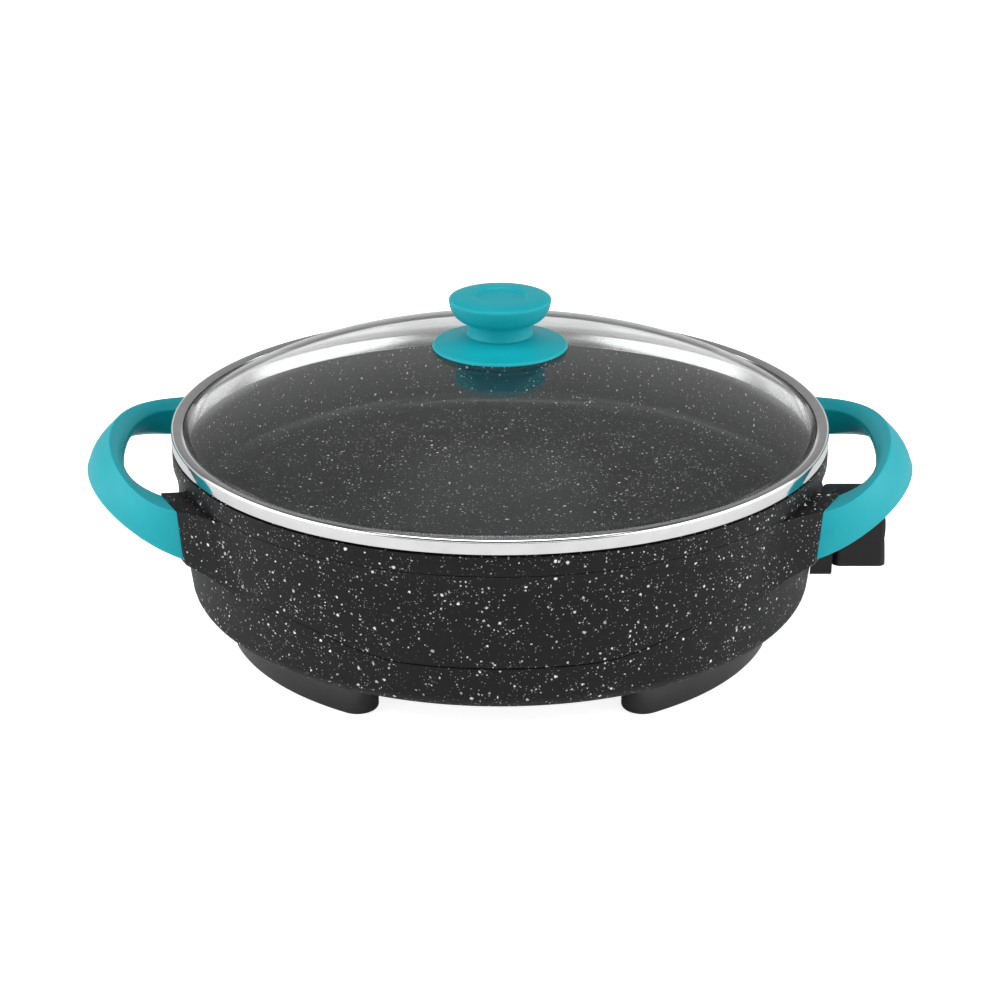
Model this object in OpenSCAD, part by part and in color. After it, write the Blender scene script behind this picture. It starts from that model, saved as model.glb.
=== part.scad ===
// Round electric skillet with a glass lid, two loop handles and a plug-in temperature control.
// Millimetres, +Z up. The origin is on the worktop under the pan's axis, and the front faces -Y.

/* [Pan] */
// Outer diameter of the pan's rim and of the lid's band
rim_d = 330; // [310:1:350]
// Depth of the cooking space, from the rim to the floor
cook_depth = 42.5; // [38:0.5:50]
// Thickness of the pan's floor
floor_t = 4; // [3:0.5:6]
// Thickness of the pan's wall under the collar
wall_t = 3.6; // [3:0.1:4.4]
// Radius of the fillet between the floor and the wall
floor_fillet = 9; // [5:0.5:14]
// Height of the upright collar round the rim
collar_h = 10.5; // [9:0.5:13]
// How far the collar stands out from the wall
collar_step = 2.3; // [1.5:0.1:3]
// Height of the hollow flare between the wall and the collar
flare_h = 11; // [8:0.5:14]
// How far the wall leans in from the flare to the base corner
wall_lean = 4.2; // [3:0.1:6]
// How far the skirt dips below the floor at the front and the back
skirt_drop = 11; // [6:0.5:14]
// How far the skirt hangs below the floor at the sides
skirt_side = 0.5; // [0.4:0.1:0.6]
// Thickness of the skirt
skirt_t = 2.2; // [1.8:0.1:3]
// Half width of the level stretch at the bottom of the skirt's dip
dip_flat = 43; // [30:1:55]
// Half width of the whole dip
dip_half = 105; // [90:1:115]

/* [Lugs] */
// Angle of a lug off the handle's centre line
lug_angle = 24.4; // [22:0.2:27]
// Width of a lug's outer face
lug_w = 26; // [22:0.5:30]
// How far a lug's face stands out from the rim
lug_out = 9.5; // [8:0.5:12]
// How far a lug's top lies below the rim
lug_drop = 12; // [11:0.5:14]
// Height of a lug's outer face
lug_h = 27; // [24:0.5:29]
// How far the outer face leans back at its foot
lug_draft = 2.2; // [1:0.1:3]
// How far the lug's flank runs along the wall past the face
lug_tail = 24; // [16:1:30]
// How far the lug's underside drops towards the wall
lug_slope = 6; // [4:0.5:6.5]

/* [Handles] */
// How far a handle reaches out from the rim
handle_reach = 44.5; // [42:0.5:50]
// Finger gap between the rim and the handle's inner edge
grip_gap = 24; // [21:0.5:26]
// Width of the ridge's slope, from the inner edge to the ridge
ridge_out = 7; // [5:0.5:9]
// How far the inner edge rises from the lug to the middle
inner_rise = 5; // [3:0.5:8]
// How far the ridge rises from the lug to the middle
ridge_rise = 13.5; // [10:0.5:16]
// Depth of the inner face at the middle of the handle, where it thins out to an edge
grip_depth = 3.5; // [2:0.5:6]
// How far the inner face slopes back under the edge at the middle
undercut = 0.8; // [0.4:0.1:1.5]
// How far the outer edge lies below the ridge at the middle
outer_drop = 19.5; // [17:0.5:23]
// Radius of the handle's rounded edges
handle_round = 1.8; // [1:0.2:3]
// Fullness of the handle's narrow faces
handle_crown = 0.5; // [0.2:0.1:1]
// Fullness of the handle's wide outer face
outer_crown = 2; // [0.5:0.1:2.5]
// Margin of the handle's leg inside the lug's face
leg_inset = 0.4; // [0.2:0.1:1]
// Height of the leg's inner side where it meets the lug
leg_inner_h = 13.5; // [13:0.5:16]
// Radius of the leg's edges where it meets the lug
leg_round = 0.8; // [0.6:0.2:1.6]
// Width of the tongue inside the lug
tongue_w = 12.5; // [10.5:0.5:13]
// Height of the tongue inside the lug
tongue_h = 9.5; // [8.5:0.5:10.5]
// How far the tongue lies above the middle of the lug's face
tongue_rise = 1.5; // [1.25:0.25:2.5]
// Length of the tongue inside the lug
tongue_l = 8; // [7.5:0.1:8.4]

/* [Base] */
// Height of the feet
foot_h = 17.5; // [12:0.5:25]
// Height of the base from its underside to the pan's floor
base_h = 37.5; // [34:0.5:44]
// Thickness of the base shell
base_t = 2; // [1.6:0.1:2.6]
// Width of the rounded corner under the base
corner_w = 20; // [14:1:22]
// Height of the rounded corner under the base
corner_h = 11; // [8:0.5:14]
// How far the base lies back from the skirt above it
reveal = 0.5; // [0.3:0.1:0.8]

/* [Feet] */
// Width of a foot
foot_w = 20; // [16:1:22]
// Distance of the feet's outer face in from the rim
foot_inset = 25; // [23:1:32]
// Angle of a foot's middle off the handle's centre line
foot_angle = 39; // [36:0.5:45]
// Angle between the centres of a foot's round ends
foot_arc = 39; // [32:0.5:42]
// Angle between a foot's two screws
screw_arc = 22; // [16:1:28]
// Diameter of the pillars between the base and the pan
standoff_d = 10; // [8:0.5:11]

/* [Heating element] */
// Diameter of the element's loop
loop_d = 190; // [176:1:200]
// Diameter of the element's tube
tube_d = 8; // [7:0.25:8.5]
// Bend radius where the loop turns out to its ends
bend_r = 16; // [13:0.5:18]
// Distance between the element's two ends
pin_pitch = 24; // [22:0.5:26]
// Diameter of the terminal pins
pin_d = 4.5; // [4:0.1:5]
// Thickness of the heat shield
shield_t = 0.8; // [0.6:0.1:1.2]
// Height of the heat shield's raised middle
shield_h = 14; // [8:0.5:18]

/* [Lid] */
// Height of the lid's steel band
band_h = 7.5; // [7:0.25:9]
// Thickness of the band's sheet
band_t = 0.8; // [0.6:0.1:1]
// Width of the band's top flange
flange_w = 6; // [5.4:0.2:7.6]
// Depth of the band's centring skirt below the rim
centring_h = 6; // [4:0.5:9]
// Play of the centring skirt inside the pan's rim
centring_gap = 0.7; // [0.5:0.1:1.2]
// How far the centring skirt leans in towards its lower edge
centring_lean = 1.6; // [0.5:0.1:3]
// Thickness of the glass
glass_t = 4; // [3.4:0.1:4.4]
// Rise of the glass above the band
dome_h = 37; // [34:0.5:42]
// Radius of the dome's sphere
dome_r = 378; // [350:2:420]
// How late the dome leaves its sphere and turns down to its edge
edge_turn = 8; // [5:0.5:12]

/* [Knob] */
// Diameter of the knob's flange
flange_d = 67.5; // [60:0.5:74]
// Diameter of the knob's neck
neck_d = 33; // [28:0.5:38]
// Diameter of the grip at its widest
grip_d = 51; // [46:0.5:56]
// Height of the flange's cone
cone_h = 5; // [4:0.5:7]
// Height of the neck above the cone
neck_h = 7; // [4:0.5:9]
// Height from the neck to the grip's widest place
swell_h = 10.5; // [9:0.5:14]
// Height of the crown above the widest place
crown_h = 2.6; // [2:0.2:5]
// Diameter of the knob's screw
knob_screw_d = 5; // [4:0.5:6]

/* [Guard and control] */
// Width of the guard round the socket
guard_w = 62; // [58:1:68]
// Height of the guard
guard_h = 31.5; // [29:0.5:33]
// How far the guard's face stands out from the rim
guard_out = 2.3; // [1.5:0.1:4]
// Width of the control's body
control_w = 50; // [48:1:56]
// Height of the control's body
control_h = 25.3; // [24:0.1:27]
// Length of the control's body
control_l = 27; // [26:0.5:32]
// Wall thickness of the control's shells
shell_t = 2; // [1.6:0.1:2.2]
// How far the control's end leans in at the top
end_draft = 2.2; // [0.5:0.1:3]
// Width of the contact block
block_w = 40; // [38:0.5:41]
// Height of the contact block
block_h = 12; // [11:0.2:12.6]
// Diameter of the temperature probe
probe_d = 6; // [5:0.25:6.5]
// How far the probe reaches in from the contact block
probe_l = 50; // [44:0.5:54]
// Diameter of the dial
dial_d = 24; // [22:0.5:28]
// Height of the dial
dial_h = 5; // [4:0.5:8]
// Number of flutes round the dial
dial_flutes = 24; // [16:1:30]
// Diameter of the dial's spindle
spindle_d = 6; // [5:0.25:6.5]
// Diameter of the lead's hole in the gland
cord_bore_d = 7.2; // [6:0.1:7.6]

/* [Fasteners and fits] */
// Diameter of the screws in the feet and handles
screw_d = 4; // [3:0.25:4.5]
// Diameter of the small screws in the guard and control
small_screw_d = 2.9; // [2.5:0.1:3.2]
// Clearance between pieces of different bodies
run_gap = 0.3; // [0.2:0.05:0.4]
// Clearance between pieces that are fixed together
fit_gap = 0.1; // [0.05:0.05:0.15]
// Clearance round shafts and pins that slide or turn
shaft_gap = 0.08; // [0.04:0.02:0.1]

/* [Hidden] */
$fn = 96;

// Colours
coat = "#2f3133";
teal = "#35a9b4";
steel = "#c9cbcc";
black = "#1c1c1d";
brass = "#c2a55a";
eps = 0.01;

// Radii and levels shared by the pieces
rim_r = rim_d / 2;
wall_top_r = rim_r - collar_step;
bore_r = wall_top_r - wall_t;
corner_r = wall_top_r - wall_lean;
z_base = foot_h;
z_under = z_base + base_h;
z_floor = z_under + floor_t;
z_rim = z_floor + cook_depth;
z_collar = z_rim - collar_h;
z_flare = z_collar - flare_h;
z_corner = z_base + corner_h;
z_dip = z_under - skirt_drop;
z_part = z_under - skirt_side;
z_shell = z_base + base_t;
z_post = z_shell + shield_t;

// Curves

// Outer radius of the pot at a height: nearly upright at the top, leaning in towards the corner
function wall_r(z) = wall_top_r - wall_lean * pow((z_flare - z) / (z_flare - z_corner), 1.6);

// Height of the parting line over x: level across the front, then a smooth rise towards the handles
function ease(t) = t * t * (3 - 2 * t);
function dip_share(x) = min(1, max(0, (abs(x) - dip_flat) / (dip_half - dip_flat)));
function part_z(x) = mix(z_dip, z_part, ease(dip_share(x)));

function mix(a, b, t) = a + (b - a) * t;
function bezier(a, b, c, d, t) =
    a * pow(1 - t, 3) + b * 3 * t * pow(1 - t, 2) + c * 3 * t * t * (1 - t) + d * pow(t, 3);
function arc_points(cx, cy, rx, ry, a0, a1, n) =
    [for (i = [0 : n]) let (a = mix(a0, a1, i / n)) [cx + rx * cos(a), cy + ry * sin(a)]];

wall_steps = 10;
wall_points = [for (i = [0 : wall_steps]) let (z = mix(z_corner, z_flare, i / wall_steps)) [wall_r(z), z]];
flare_steps = 5;
flare_lip = 0.4;
flare_points = [for (i = [1 : flare_steps]) let (s = i / flare_steps)
    [wall_top_r + (collar_step - flare_lip) * pow(s, 1.7), mix(z_flare, z_collar, s)]];

// Region of space above the wavy parting line, or below it, through the whole depth
dip_steps = 10;
dip_points = [for (side = [-1, 1], i = [0 : dip_steps])
    let (x = side * mix(dip_flat, dip_half, (side < 0 ? dip_steps - i : i) / dip_steps)) [x, part_z(x)]];
module parting(up, gap) {
    reach = rim_r + lug_out;
    level = z_part + gap;
    far = up ? z_rim + 1 : 0;
    outline = [for (p = dip_points) [p[0], p[1] + gap]];
    rotate([90, 0, 0])
        linear_extrude(2 * reach, center = true)
            polygon(concat([[-reach, far], [-reach, level]], outline, [[reach, level], [reach, far]]));
}

// Rectangle with rounded corners, centred
module rounded_rect(w, h, r) {
    square([w - 2 * r, h], center = true);
    square([w, h - 2 * r], center = true);
    for (x = [-1, 1], y = [-1, 1]) translate([x * (w / 2 - r), y * (h / 2 - r)]) circle(r);
}

// Bar along +X from x0, with its outline in Y and Z
module along_x(x0, l, y = 0, z = 0) {
    translate([x0, y, z]) rotate([90, 0, 90]) linear_extrude(l) children();
}

// Lugs and handles

z_lug = z_rim - lug_drop;
z_lug_foot = z_lug - lug_h;
lug_r = rim_r + lug_out;
lug_root = (wall_r(z_under) + bore_r) / 2;
lug_tip_v = lug_w / 2 + lug_tail;
lug_tip_u = sqrt(pow(wall_top_r - 1, 2) - pow(lug_tip_v, 2));
lug_tail_u = sqrt(pow(lug_root, 2) - pow(lug_tip_v, 2));
lug_side_v = lug_w / 2 - 5;
tongue_z = z_lug - lug_h / 2 - tongue_h / 2 + tongue_rise;
pocket_d = tongue_l + fit_gap;
screw_head_r = screw_d * 0.95;
screw_head_h = screw_d * 0.7;
lug_screw_u = lug_r - lug_draft - pocket_d / 2;
lug_seat_z = z_lug_foot + screw_head_h - lug_slope * 0.25;

function face_u(z) = lug_r - lug_draft * (z_lug - z) / lug_h;
function lug_point(u, v, z) =
    [u * cos(lug_angle) - v * sin(lug_angle), u * sin(lug_angle) + v * cos(lug_angle), z];

// Puts children made in the first quadrant's lug frame at all four lugs
module at_lugs() {
    for (mx = [0, 1], my = [0, 1])
        mirror([mx, 0, 0]) mirror([0, my, 0]) rotate([0, 0, lug_angle]) children();
}

module lug_block() {
    side = [[lug_tail_u, z_lug_foot - lug_slope], [lug_tip_u, z_lug_foot - lug_slope],
        [lug_r - lug_draft, z_lug_foot], [lug_r, z_lug], [lug_tail_u, z_lug]];
    plan = [[lug_root, -lug_side_v], [lug_r, -lug_w / 2], [lug_r, lug_w / 2],
        [lug_tip_u, lug_tip_v], [lug_tail_u, lug_tip_v]];
    intersection() {
        translate([0, 0, z_under]) linear_extrude(z_rim - z_under) polygon(plan);
        rotate([90, 0, 0]) linear_extrude(4 * lug_w, center = true) polygon(side);
    }
}

module lug_cuts() {
    translate([face_u(tongue_z) - pocket_d - lug_draft, -tongue_w / 2 - fit_gap, tongue_z - fit_gap])
        cube([pocket_d + 2 * lug_draft, tongue_w + 2 * fit_gap, tongue_h + 2 * fit_gap]);
    translate([lug_screw_u, 0, z_lug_foot - lug_slope])
        cylinder(h = tongue_z - z_lug_foot + lug_slope, d = screw_d + 2 * fit_gap);
    translate([lug_screw_u, 0, z_lug_foot - lug_slope])
        cylinder(h = lug_seat_z - z_lug_foot + lug_slope, r = screw_head_r + fit_gap);
}

// Cross-section of the handle, as four rails from a lug (t = 0) to the middle (t = 1)
leg_w = lug_w / 2 - leg_inset;
leg_top = z_lug - leg_inset;
leg_foot = z_lug_foot + leg_inset + 1;
leg_inner_top = leg_top - 0.6;
inner_r = rim_r + grip_gap;
ridge_z = z_lug + ridge_rise;
inner_z = z_lug + inner_rise;
function leg_point(v, z) = lug_point(face_u(z) + fit_gap, v, z);
inner_mid = [inner_r, 0, inner_z];
ridge_mid = [inner_r + ridge_out, 0, ridge_z];
outer_mid = [rim_r + handle_reach, 0, ridge_z - outer_drop];
under_mid = [inner_r + undercut, 0, inner_z - grip_depth];
function rail(p0, p3, fx, fy, gy, fz, t) =
    let (leave = [mix(p0[0], p3[0], fx), p0[1] * fy, mix(p0[2], p3[2], fz)])
    bezier(p0, leave, [p3[0], p0[1] * gy, p3[2]], p3, t);
function section_corners(t) = [
    rail(leg_point(-leg_w, leg_inner_top), inner_mid, 0.7, 0.89, 0.57, 0.72, t),
    rail(leg_point(leg_w, leg_top), ridge_mid, 0.54, 0.92, 0.51, 0.07, t),
    rail(leg_point(leg_w, leg_foot), outer_mid, 0.44, 0.95, 0.53, 0.35, t),
    rail(leg_point(-leg_w, leg_top - leg_inner_h), under_mid, 0.7, 0.89, 0.57, 0, t)];

// Rounds the four corners and crowns the faces between them
corner_steps = 4;
face_steps = 2;
function toward(a, b, d) = a + (b - a) * min(0.46, d / norm(b - a));
function round_at(t) = mix(leg_round, handle_round, min(1, 3 * t));
function corner_arc(a, c, b, r) =
    let (p = toward(c, a, r), q = toward(c, b, r))
    [for (i = [0 : corner_steps]) let (s = i / corner_steps)
        p * pow(1 - s, 2) + c * 2 * s * (1 - s) + q * s * s];
function face_arc(c, b, middle, r, crown) =
    let (p = toward(c, b, r), q = toward(b, c, r), m = (p + q) / 2 - middle)
    [for (i = [1 : face_steps]) let (s = i / (face_steps + 1))
        mix(p, q, s) + m * (crown / norm(m)) * sin(180 * s)];
function section(t) =
    let (c = section_corners(t), middle = (c[0] + c[1] + c[2] + c[3]) / 4)
    let (r = round_at(t), grow = min(1, 3 * t))
    [for (k = [0 : 3]) each concat(
        corner_arc(c[(k + 3) % 4], c[k], c[(k + 1) % 4], r),
        face_arc(c[k], c[(k + 1) % 4], middle, r, grow * (k == 1 ? outer_crown : handle_crown)))];

half_rings = 16;
handle_rings = concat(
    [for (i = [0 : half_rings]) section(i / half_rings)],
    [for (i = [half_rings - 1 : -1 : 0]) [for (p = section(i / half_rings)) [p[0], -p[1], p[2]]]]);
ring_n = len(handle_rings[0]);
ring_count = len(handle_rings);

module handle_loop() {
    points = [for (ring = handle_rings, p = ring) p];
    sides = [for (i = [0 : ring_count - 2], k = [0 : ring_n - 1])
        let (a = i * ring_n + k, b = i * ring_n + (k + 1) % ring_n)
        each [[a, b, a + ring_n], [b, b + ring_n, a + ring_n]]];
    first = [for (k = [ring_n - 1 : -1 : 0]) k];
    last = [for (k = [0 : ring_n - 1]) (ring_count - 1) * ring_n + k];
    polyhedron(points, concat(sides, [first, last]), convexity = 6);
}

module handle() {
    difference() {
        union() {
            handle_loop();
            for (my = [0, 1]) mirror([0, my, 0]) rotate([0, 0, lug_angle])
                translate([face_u(tongue_z) - tongue_l, -tongue_w / 2, tongue_z])
                    cube([tongue_l + lug_draft + 2, tongue_w, tongue_h]);
        }
        for (my = [0, 1]) mirror([0, my, 0]) rotate([0, 0, lug_angle])
            translate([lug_screw_u, 0, tongue_z - 1])
                cylinder(h = tongue_h - 1, d = screw_d + fit_gap);
    }
}

module right_handle() {
    color(teal) handle();
}

module left_handle() {
    color(teal) mirror([1, 0, 0]) handle();
}

module handle_screws() {
    color(steel) at_lugs() translate([lug_screw_u, 0, lug_seat_z - screw_head_h]) {
        cylinder(h = screw_head_h, r = screw_head_r);
        cylinder(h = tongue_z + tongue_h - 4 - lug_seat_z + screw_head_h, d = screw_d);
    }
}

// Pan and what hangs under its floor

element_r = loop_d / 2;
tube_r = tube_d / 2;
z_axis = z_under - 7;
ridge_w = 4;
pin_y = pin_pitch / 2;
bend_x = sqrt(pow(element_r + bend_r, 2) - pow(pin_y + bend_r, 2));
bend_angle = atan2(pin_y + bend_r, bend_x);
guard_x = rim_r + guard_out;
block_in = 21.5;
cold_l = 20;
block_x = guard_x - block_in;
tube_end_x = block_x - cold_l;
probe_tip_x = block_x - probe_l;
well_x = probe_tip_x - 1;
well_half_w = probe_d / 2 + 3;
element_fit = 0.05;
tube_lap = 1;
tube_taper = 0.03;

// Pot and skirt in one turned profile, with the skirt cut along the parting line
module pan_body() {
    seat = 1.2;
    bore_lean = 1.5;
    steps = 10;
    skirt_r = wall_r(z_dip) - skirt_t;
    outer = [for (i = [0 : steps]) let (z = mix(z_dip - 1, z_flare, i / steps)) [wall_r(z), z]];
    rim = [[rim_r, z_collar], [rim_r, z_rim - seat], [rim_r - seat, z_rim]];
    fillet_r = bore_r - bore_lean - floor_fillet;
    inner = concat(
        [[bore_r + seat, z_rim], [bore_r, z_rim - seat]],
        arc_points(fillet_r, z_floor + floor_fillet, floor_fillet, floor_fillet, 0, -90, 8),
        [[0, z_floor], [0, z_under], [skirt_r, z_under], [skirt_r, z_dip - 1]]);
    intersection() {
        rotate_extrude($fn = 180) polygon(concat(outer, flare_points, rim, inner));
        parting(true, 0);
    }
}

module element_ridge() {
    rotate([0, 0, bend_angle])
        rotate_extrude(angle = 360 - 2 * bend_angle, $fn = 180)
            difference() {
                translate([element_r - tube_r - ridge_w, z_axis - tube_r])
                    square([tube_d + 2 * ridge_w, z_under - z_axis + tube_r + eps]);
                translate([element_r - tube_r - element_fit, z_axis - tube_r - 1])
                    square([tube_d + 2 * element_fit, tube_d + 1 + element_fit]);
            }
}

module probe_well() {
    well_l = tube_end_x - well_x;
    difference() {
        translate([well_x - 3, -well_half_w, z_axis - well_half_w])
            cube([well_l, 2 * well_half_w, z_under - z_axis + well_half_w + eps]);
        along_x(probe_tip_x - 1, well_l + 5, 0, z_axis) circle(d = probe_d + 2 * shaft_gap);
    }
}

module pan() {
    saddle_l = tube_end_x - bend_x - 4;
    color(coat) {
        difference() {
            union() {
                pan_body();
                at_lugs() lug_block();
            }
            at_lugs() lug_cuts();
        }
        element_ridge();
        probe_well();
        for (y = [-1, 1])
            translate([bend_x + 2, y * pin_y - tube_r / 2, z_axis + tube_r + element_fit])
                cube([saddle_l, tube_r, z_under - z_axis - tube_r - element_fit + eps]);
    }
}

// Element with its cold ends

module heating_element() {
    color("#7d7a76") translate([0, 0, z_axis]) {
        rotate([0, 0, bend_angle])
            rotate_extrude(angle = 360 - 2 * bend_angle, $fn = 180) translate([element_r, 0]) circle(tube_r);
        for (my = [0, 1]) mirror([0, my, 0]) {
            translate([bend_x, pin_y + bend_r, 0])
                rotate([0, 0, 180 + bend_angle - tube_lap])
                    rotate_extrude(angle = 90 - bend_angle + tube_lap)
                        translate([bend_r, 0]) circle(tube_r - tube_taper);
            along_x(bend_x - tube_lap / 2, tube_end_x - bend_x + tube_lap / 2, pin_y)
                circle(tube_r - 2 * tube_taper);
        }
    }
}

bush_l = 7;
pin_tip_x = guard_x - 5;

module terminal_bushes() {
    color("#e8e4da") for (y = [-1, 1]) along_x(tube_end_x, bush_l, y * pin_y, z_axis) difference() {
        circle(tube_r - 0.3);
        circle(d = pin_d + 2 * element_fit);
    }
}

module terminal_pins() {
    nose = 1.2;
    shank = pin_tip_x - nose - tube_end_x;
    color(brass) for (y = [-1, 1]) translate([tube_end_x, y * pin_y, z_axis]) rotate([0, 90, 0]) {
        cylinder(h = shank, d = pin_d);
        translate([0, 0, shank]) cylinder(h = nose, d1 = pin_d, d2 = pin_d - 2 * nose);
    }
}

// Base shell, heat shield, pillars and feet

foot_out = rim_r - foot_inset;
foot_mid = foot_out - foot_w / 2;
z_foot_screw = foot_h / 2;
foot_bite = 3.75 * screw_d;
lip_r = wall_r(z_dip) - skirt_t - fit_gap;
lip_t = 1.6;
z_lip = mix(z_corner, z_dip, 0.35);
guard_screw_y = (guard_w + block_w) / 4 + 0.5;
guard_boss_r = small_screw_d / 2 + 2.6;
guard_bite = 3.8 * small_screw_d;
socket_gap = 0.5;
socket_w = block_w + 2 * socket_gap;
socket_h = block_h + 2 * socket_gap;

// Puts children at the two screws of each foot that is asked for
module at_foot_screws(feet) {
    for (f = feet, s = [-0.5, 0.5])
        rotate([0, 0, f + s * screw_arc]) translate([foot_mid, 0, 0]) children();
}
all_feet = [foot_angle, 180 - foot_angle, 180 + foot_angle, 360 - foot_angle];

module bowl() {
    n = 8;
    inset = corner_r - reveal;
    outer = concat(
        arc_points(inset - corner_w, z_corner, corner_w, corner_h, -90, 0, n),
        [for (p = wall_points) if (p[1] > z_corner && p[1] < z_under) [p[0] - reveal, p[1]]],
        [[wall_r(z_under) - reveal, z_under]]);
    inner = concat(
        [[wall_r(z_under) - reveal - base_t, z_under]],
        [for (i = [wall_steps : -1 : 0]) let (p = wall_points[i])
            if (p[1] > z_corner && p[1] < z_under) [p[0] - reveal - base_t, p[1]]],
        arc_points(inset - corner_w, z_corner, corner_w - base_t, corner_h - base_t, 0, -90, n));
    rotate_extrude($fn = 180) polygon(concat([[0, z_base]], outer, inner, [[0, z_shell]]));
}

module base_shell() {
    color(coat) difference() {
        union() {
            intersection() {
                bowl();
                parting(false, -fit_gap);
            }
            rotate_extrude($fn = 180)
                polygon([[lip_r, z_lip], [lip_r, z_under - fit_gap], [lip_r - lip_t, z_under - fit_gap],
                    [lip_r - lip_t, z_lip]]);
            for (y = [-1, 1]) intersection() {
                along_x(lip_r - guard_bite - 3, guard_bite + 5, y * guard_screw_y, z_axis) circle(guard_boss_r);
                cylinder(h = z_under, r = lip_r);
            }
        }
        along_x(lip_r - socket_w / 2, socket_w, 0, z_axis) square([socket_w, socket_h], center = true);
        translate([lip_r - socket_w / 2, -socket_w / 2, z_axis]) cube([socket_w, socket_w, base_h]);
        for (y = [-1, 1])
            along_x(lip_r - guard_bite - 1, socket_w, y * guard_screw_y, z_axis)
                circle(d = small_screw_d + fit_gap);
        at_foot_screws(all_feet) cylinder(h = z_under, d = screw_d + 2 * fit_gap);
    }
}

module heat_shield() {
    brim_r = foot_mid + standoff_d / 2 + 1;
    foot_r = foot_mid - standoff_d / 2 - 2;
    top_r = foot_r - 8;
    z_dish = z_post + shield_h;
    color("#b9bcbd") difference() {
        rotate_extrude($fn = 180)
            polygon([[brim_r, z_shell], [brim_r, z_post], [foot_r, z_post], [top_r, z_dish], [0, z_dish],
                [0, z_dish - shield_t], [top_r - shield_t, z_dish - shield_t], [foot_r - shield_t, z_shell]]);
        at_foot_screws(all_feet) cylinder(h = z_under, d = screw_d + 2 * fit_gap);
    }
}

module standoffs() {
    color("#9a9da0") at_foot_screws(all_feet) difference() {
        translate([0, 0, z_post]) cylinder(h = z_under - z_post, d = standoff_d);
        translate([0, 0, z_post - 1]) cylinder(h = foot_bite + 3, d = screw_d + fit_gap);
    }
}

module foot(angle) {
    end_step = 0.05;
    color(black) rotate([0, 0, angle]) difference() {
        union() {
            rotate([0, 0, -foot_arc / 2]) rotate_extrude(angle = foot_arc)
                translate([foot_out - foot_w, 0]) square([foot_w, foot_h]);
            for (s = [-0.5, 0.5])
                rotate([0, 0, s * foot_arc]) translate([foot_mid, 0, 0])
                    cylinder(h = foot_h, r = foot_w / 2 - end_step);
        }
        at_foot_screws([0]) translate([0, 0, -1]) {
            cylinder(h = foot_h + 2, d = screw_d + 2 * fit_gap);
            cylinder(h = z_foot_screw + 1, r = screw_head_r + 0.5);
        }
    }
}

module foot_rear_right() {
    foot(all_feet[0]);
}

module foot_rear_left() {
    foot(all_feet[1]);
}

module foot_front_left() {
    foot(all_feet[2]);
}

module foot_front_right() {
    foot(all_feet[3]);
}

module foot_screws() {
    color(steel) at_foot_screws(all_feet) translate([0, 0, z_foot_screw - screw_head_h]) {
        cylinder(h = screw_head_h, r = screw_head_r);
        cylinder(h = z_post + foot_bite - z_foot_screw + screw_head_h, d = screw_d);
    }
}

// Guard round the socket

guard_head_h = 2.4;
guard_head_r = small_screw_d * 0.95;
guard_head_x = guard_x - guard_head_h - 1;

module terminal_guard() {
    back_x = rim_r - 20;
    seat = [for (p = wall_points) [p[0] + fit_gap, p[1]]];
    color(black) difference() {
        along_x(back_x, guard_x - back_x, 0, z_axis) rounded_rect(guard_w, guard_h, 4);
        rotate_extrude($fn = 180) polygon(concat([[0, z_corner]], seat, [[0, z_flare]]));
        along_x(back_x - 1, guard_x - back_x + 2, 0, z_axis) square([socket_w, socket_h], center = true);
        for (y = [-1, 1]) {
            along_x(back_x, guard_x - back_x, y * guard_screw_y, z_axis)
                circle(d = small_screw_d + 2 * fit_gap);
            along_x(guard_head_x, 10, y * guard_screw_y, z_axis) circle(guard_head_r + 2 * fit_gap);
        }
    }
}

module guard_screws() {
    tip_x = lip_r - guard_bite;
    color(steel) for (y = [-1, 1]) {
        along_x(guard_head_x, guard_head_h, y * guard_screw_y, z_axis) circle(guard_head_r);
        along_x(tip_x, guard_head_x - tip_x, y * guard_screw_y, z_axis) circle(d = small_screw_d);
    }
}

// Lid

z_lid = z_rim + run_gap;
z_band = z_rim + band_h;
z_apex = z_band + dome_h;
seal_t = (band_h - run_gap - 2 * band_t - glass_t) / 2;
z_glass_edge = z_lid + band_t + seal_t;
glass_r = rim_r - band_t - 1;
seal_in_r = rim_r - flange_w + 0.6;
hole_r = knob_screw_d / 2 + 1;
dome_foot_r = rim_r - flange_w - 0.5;
z_sill = z_glass_edge + glass_t;
function sphere_z(r) = z_apex - dome_r + sqrt(dome_r * dome_r - r * r);
function dome_z(r) = sphere_z(r) - (sphere_z(dome_foot_r) - z_sill) * pow(r / dome_foot_r, edge_turn);

module lid_rim() {
    round_r = 2;
    skirt_r = bore_r - centring_gap;
    foot_r = skirt_r - centring_lean;
    low = z_rim - centring_h;
    outer = concat(
        [[rim_r - flange_w, z_band]],
        arc_points(rim_r - round_r, z_band - round_r, round_r, round_r, 90, 0, 5),
        [[rim_r, z_lid], [skirt_r, z_lid], [foot_r, low], [foot_r - band_t, low],
            [skirt_r - band_t, z_lid + band_t], [rim_r - band_t, z_lid + band_t]]);
    inner = concat(
        arc_points(rim_r - round_r, z_band - round_r, round_r - band_t, round_r - band_t, 0, 90, 5),
        [[rim_r - flange_w, z_band - band_t]]);
    color(steel) rotate_extrude($fn = 180) polygon(concat(outer, inner));
}

module lid_seal() {
    z0 = z_lid + band_t;
    z1 = z_band - band_t;
    seal_r = rim_r - band_t;
    cut = 1.2;
    color("#3a3a3a") rotate_extrude($fn = 180)
        polygon([[seal_in_r, z0], [seal_r, z0], [seal_r, z1 - cut], [seal_r - cut, z1],
            [seal_in_r, z1], [seal_in_r, z_sill], [glass_r, z_sill],
            [glass_r, z_glass_edge], [seal_in_r, z_glass_edge]]);
}

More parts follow.
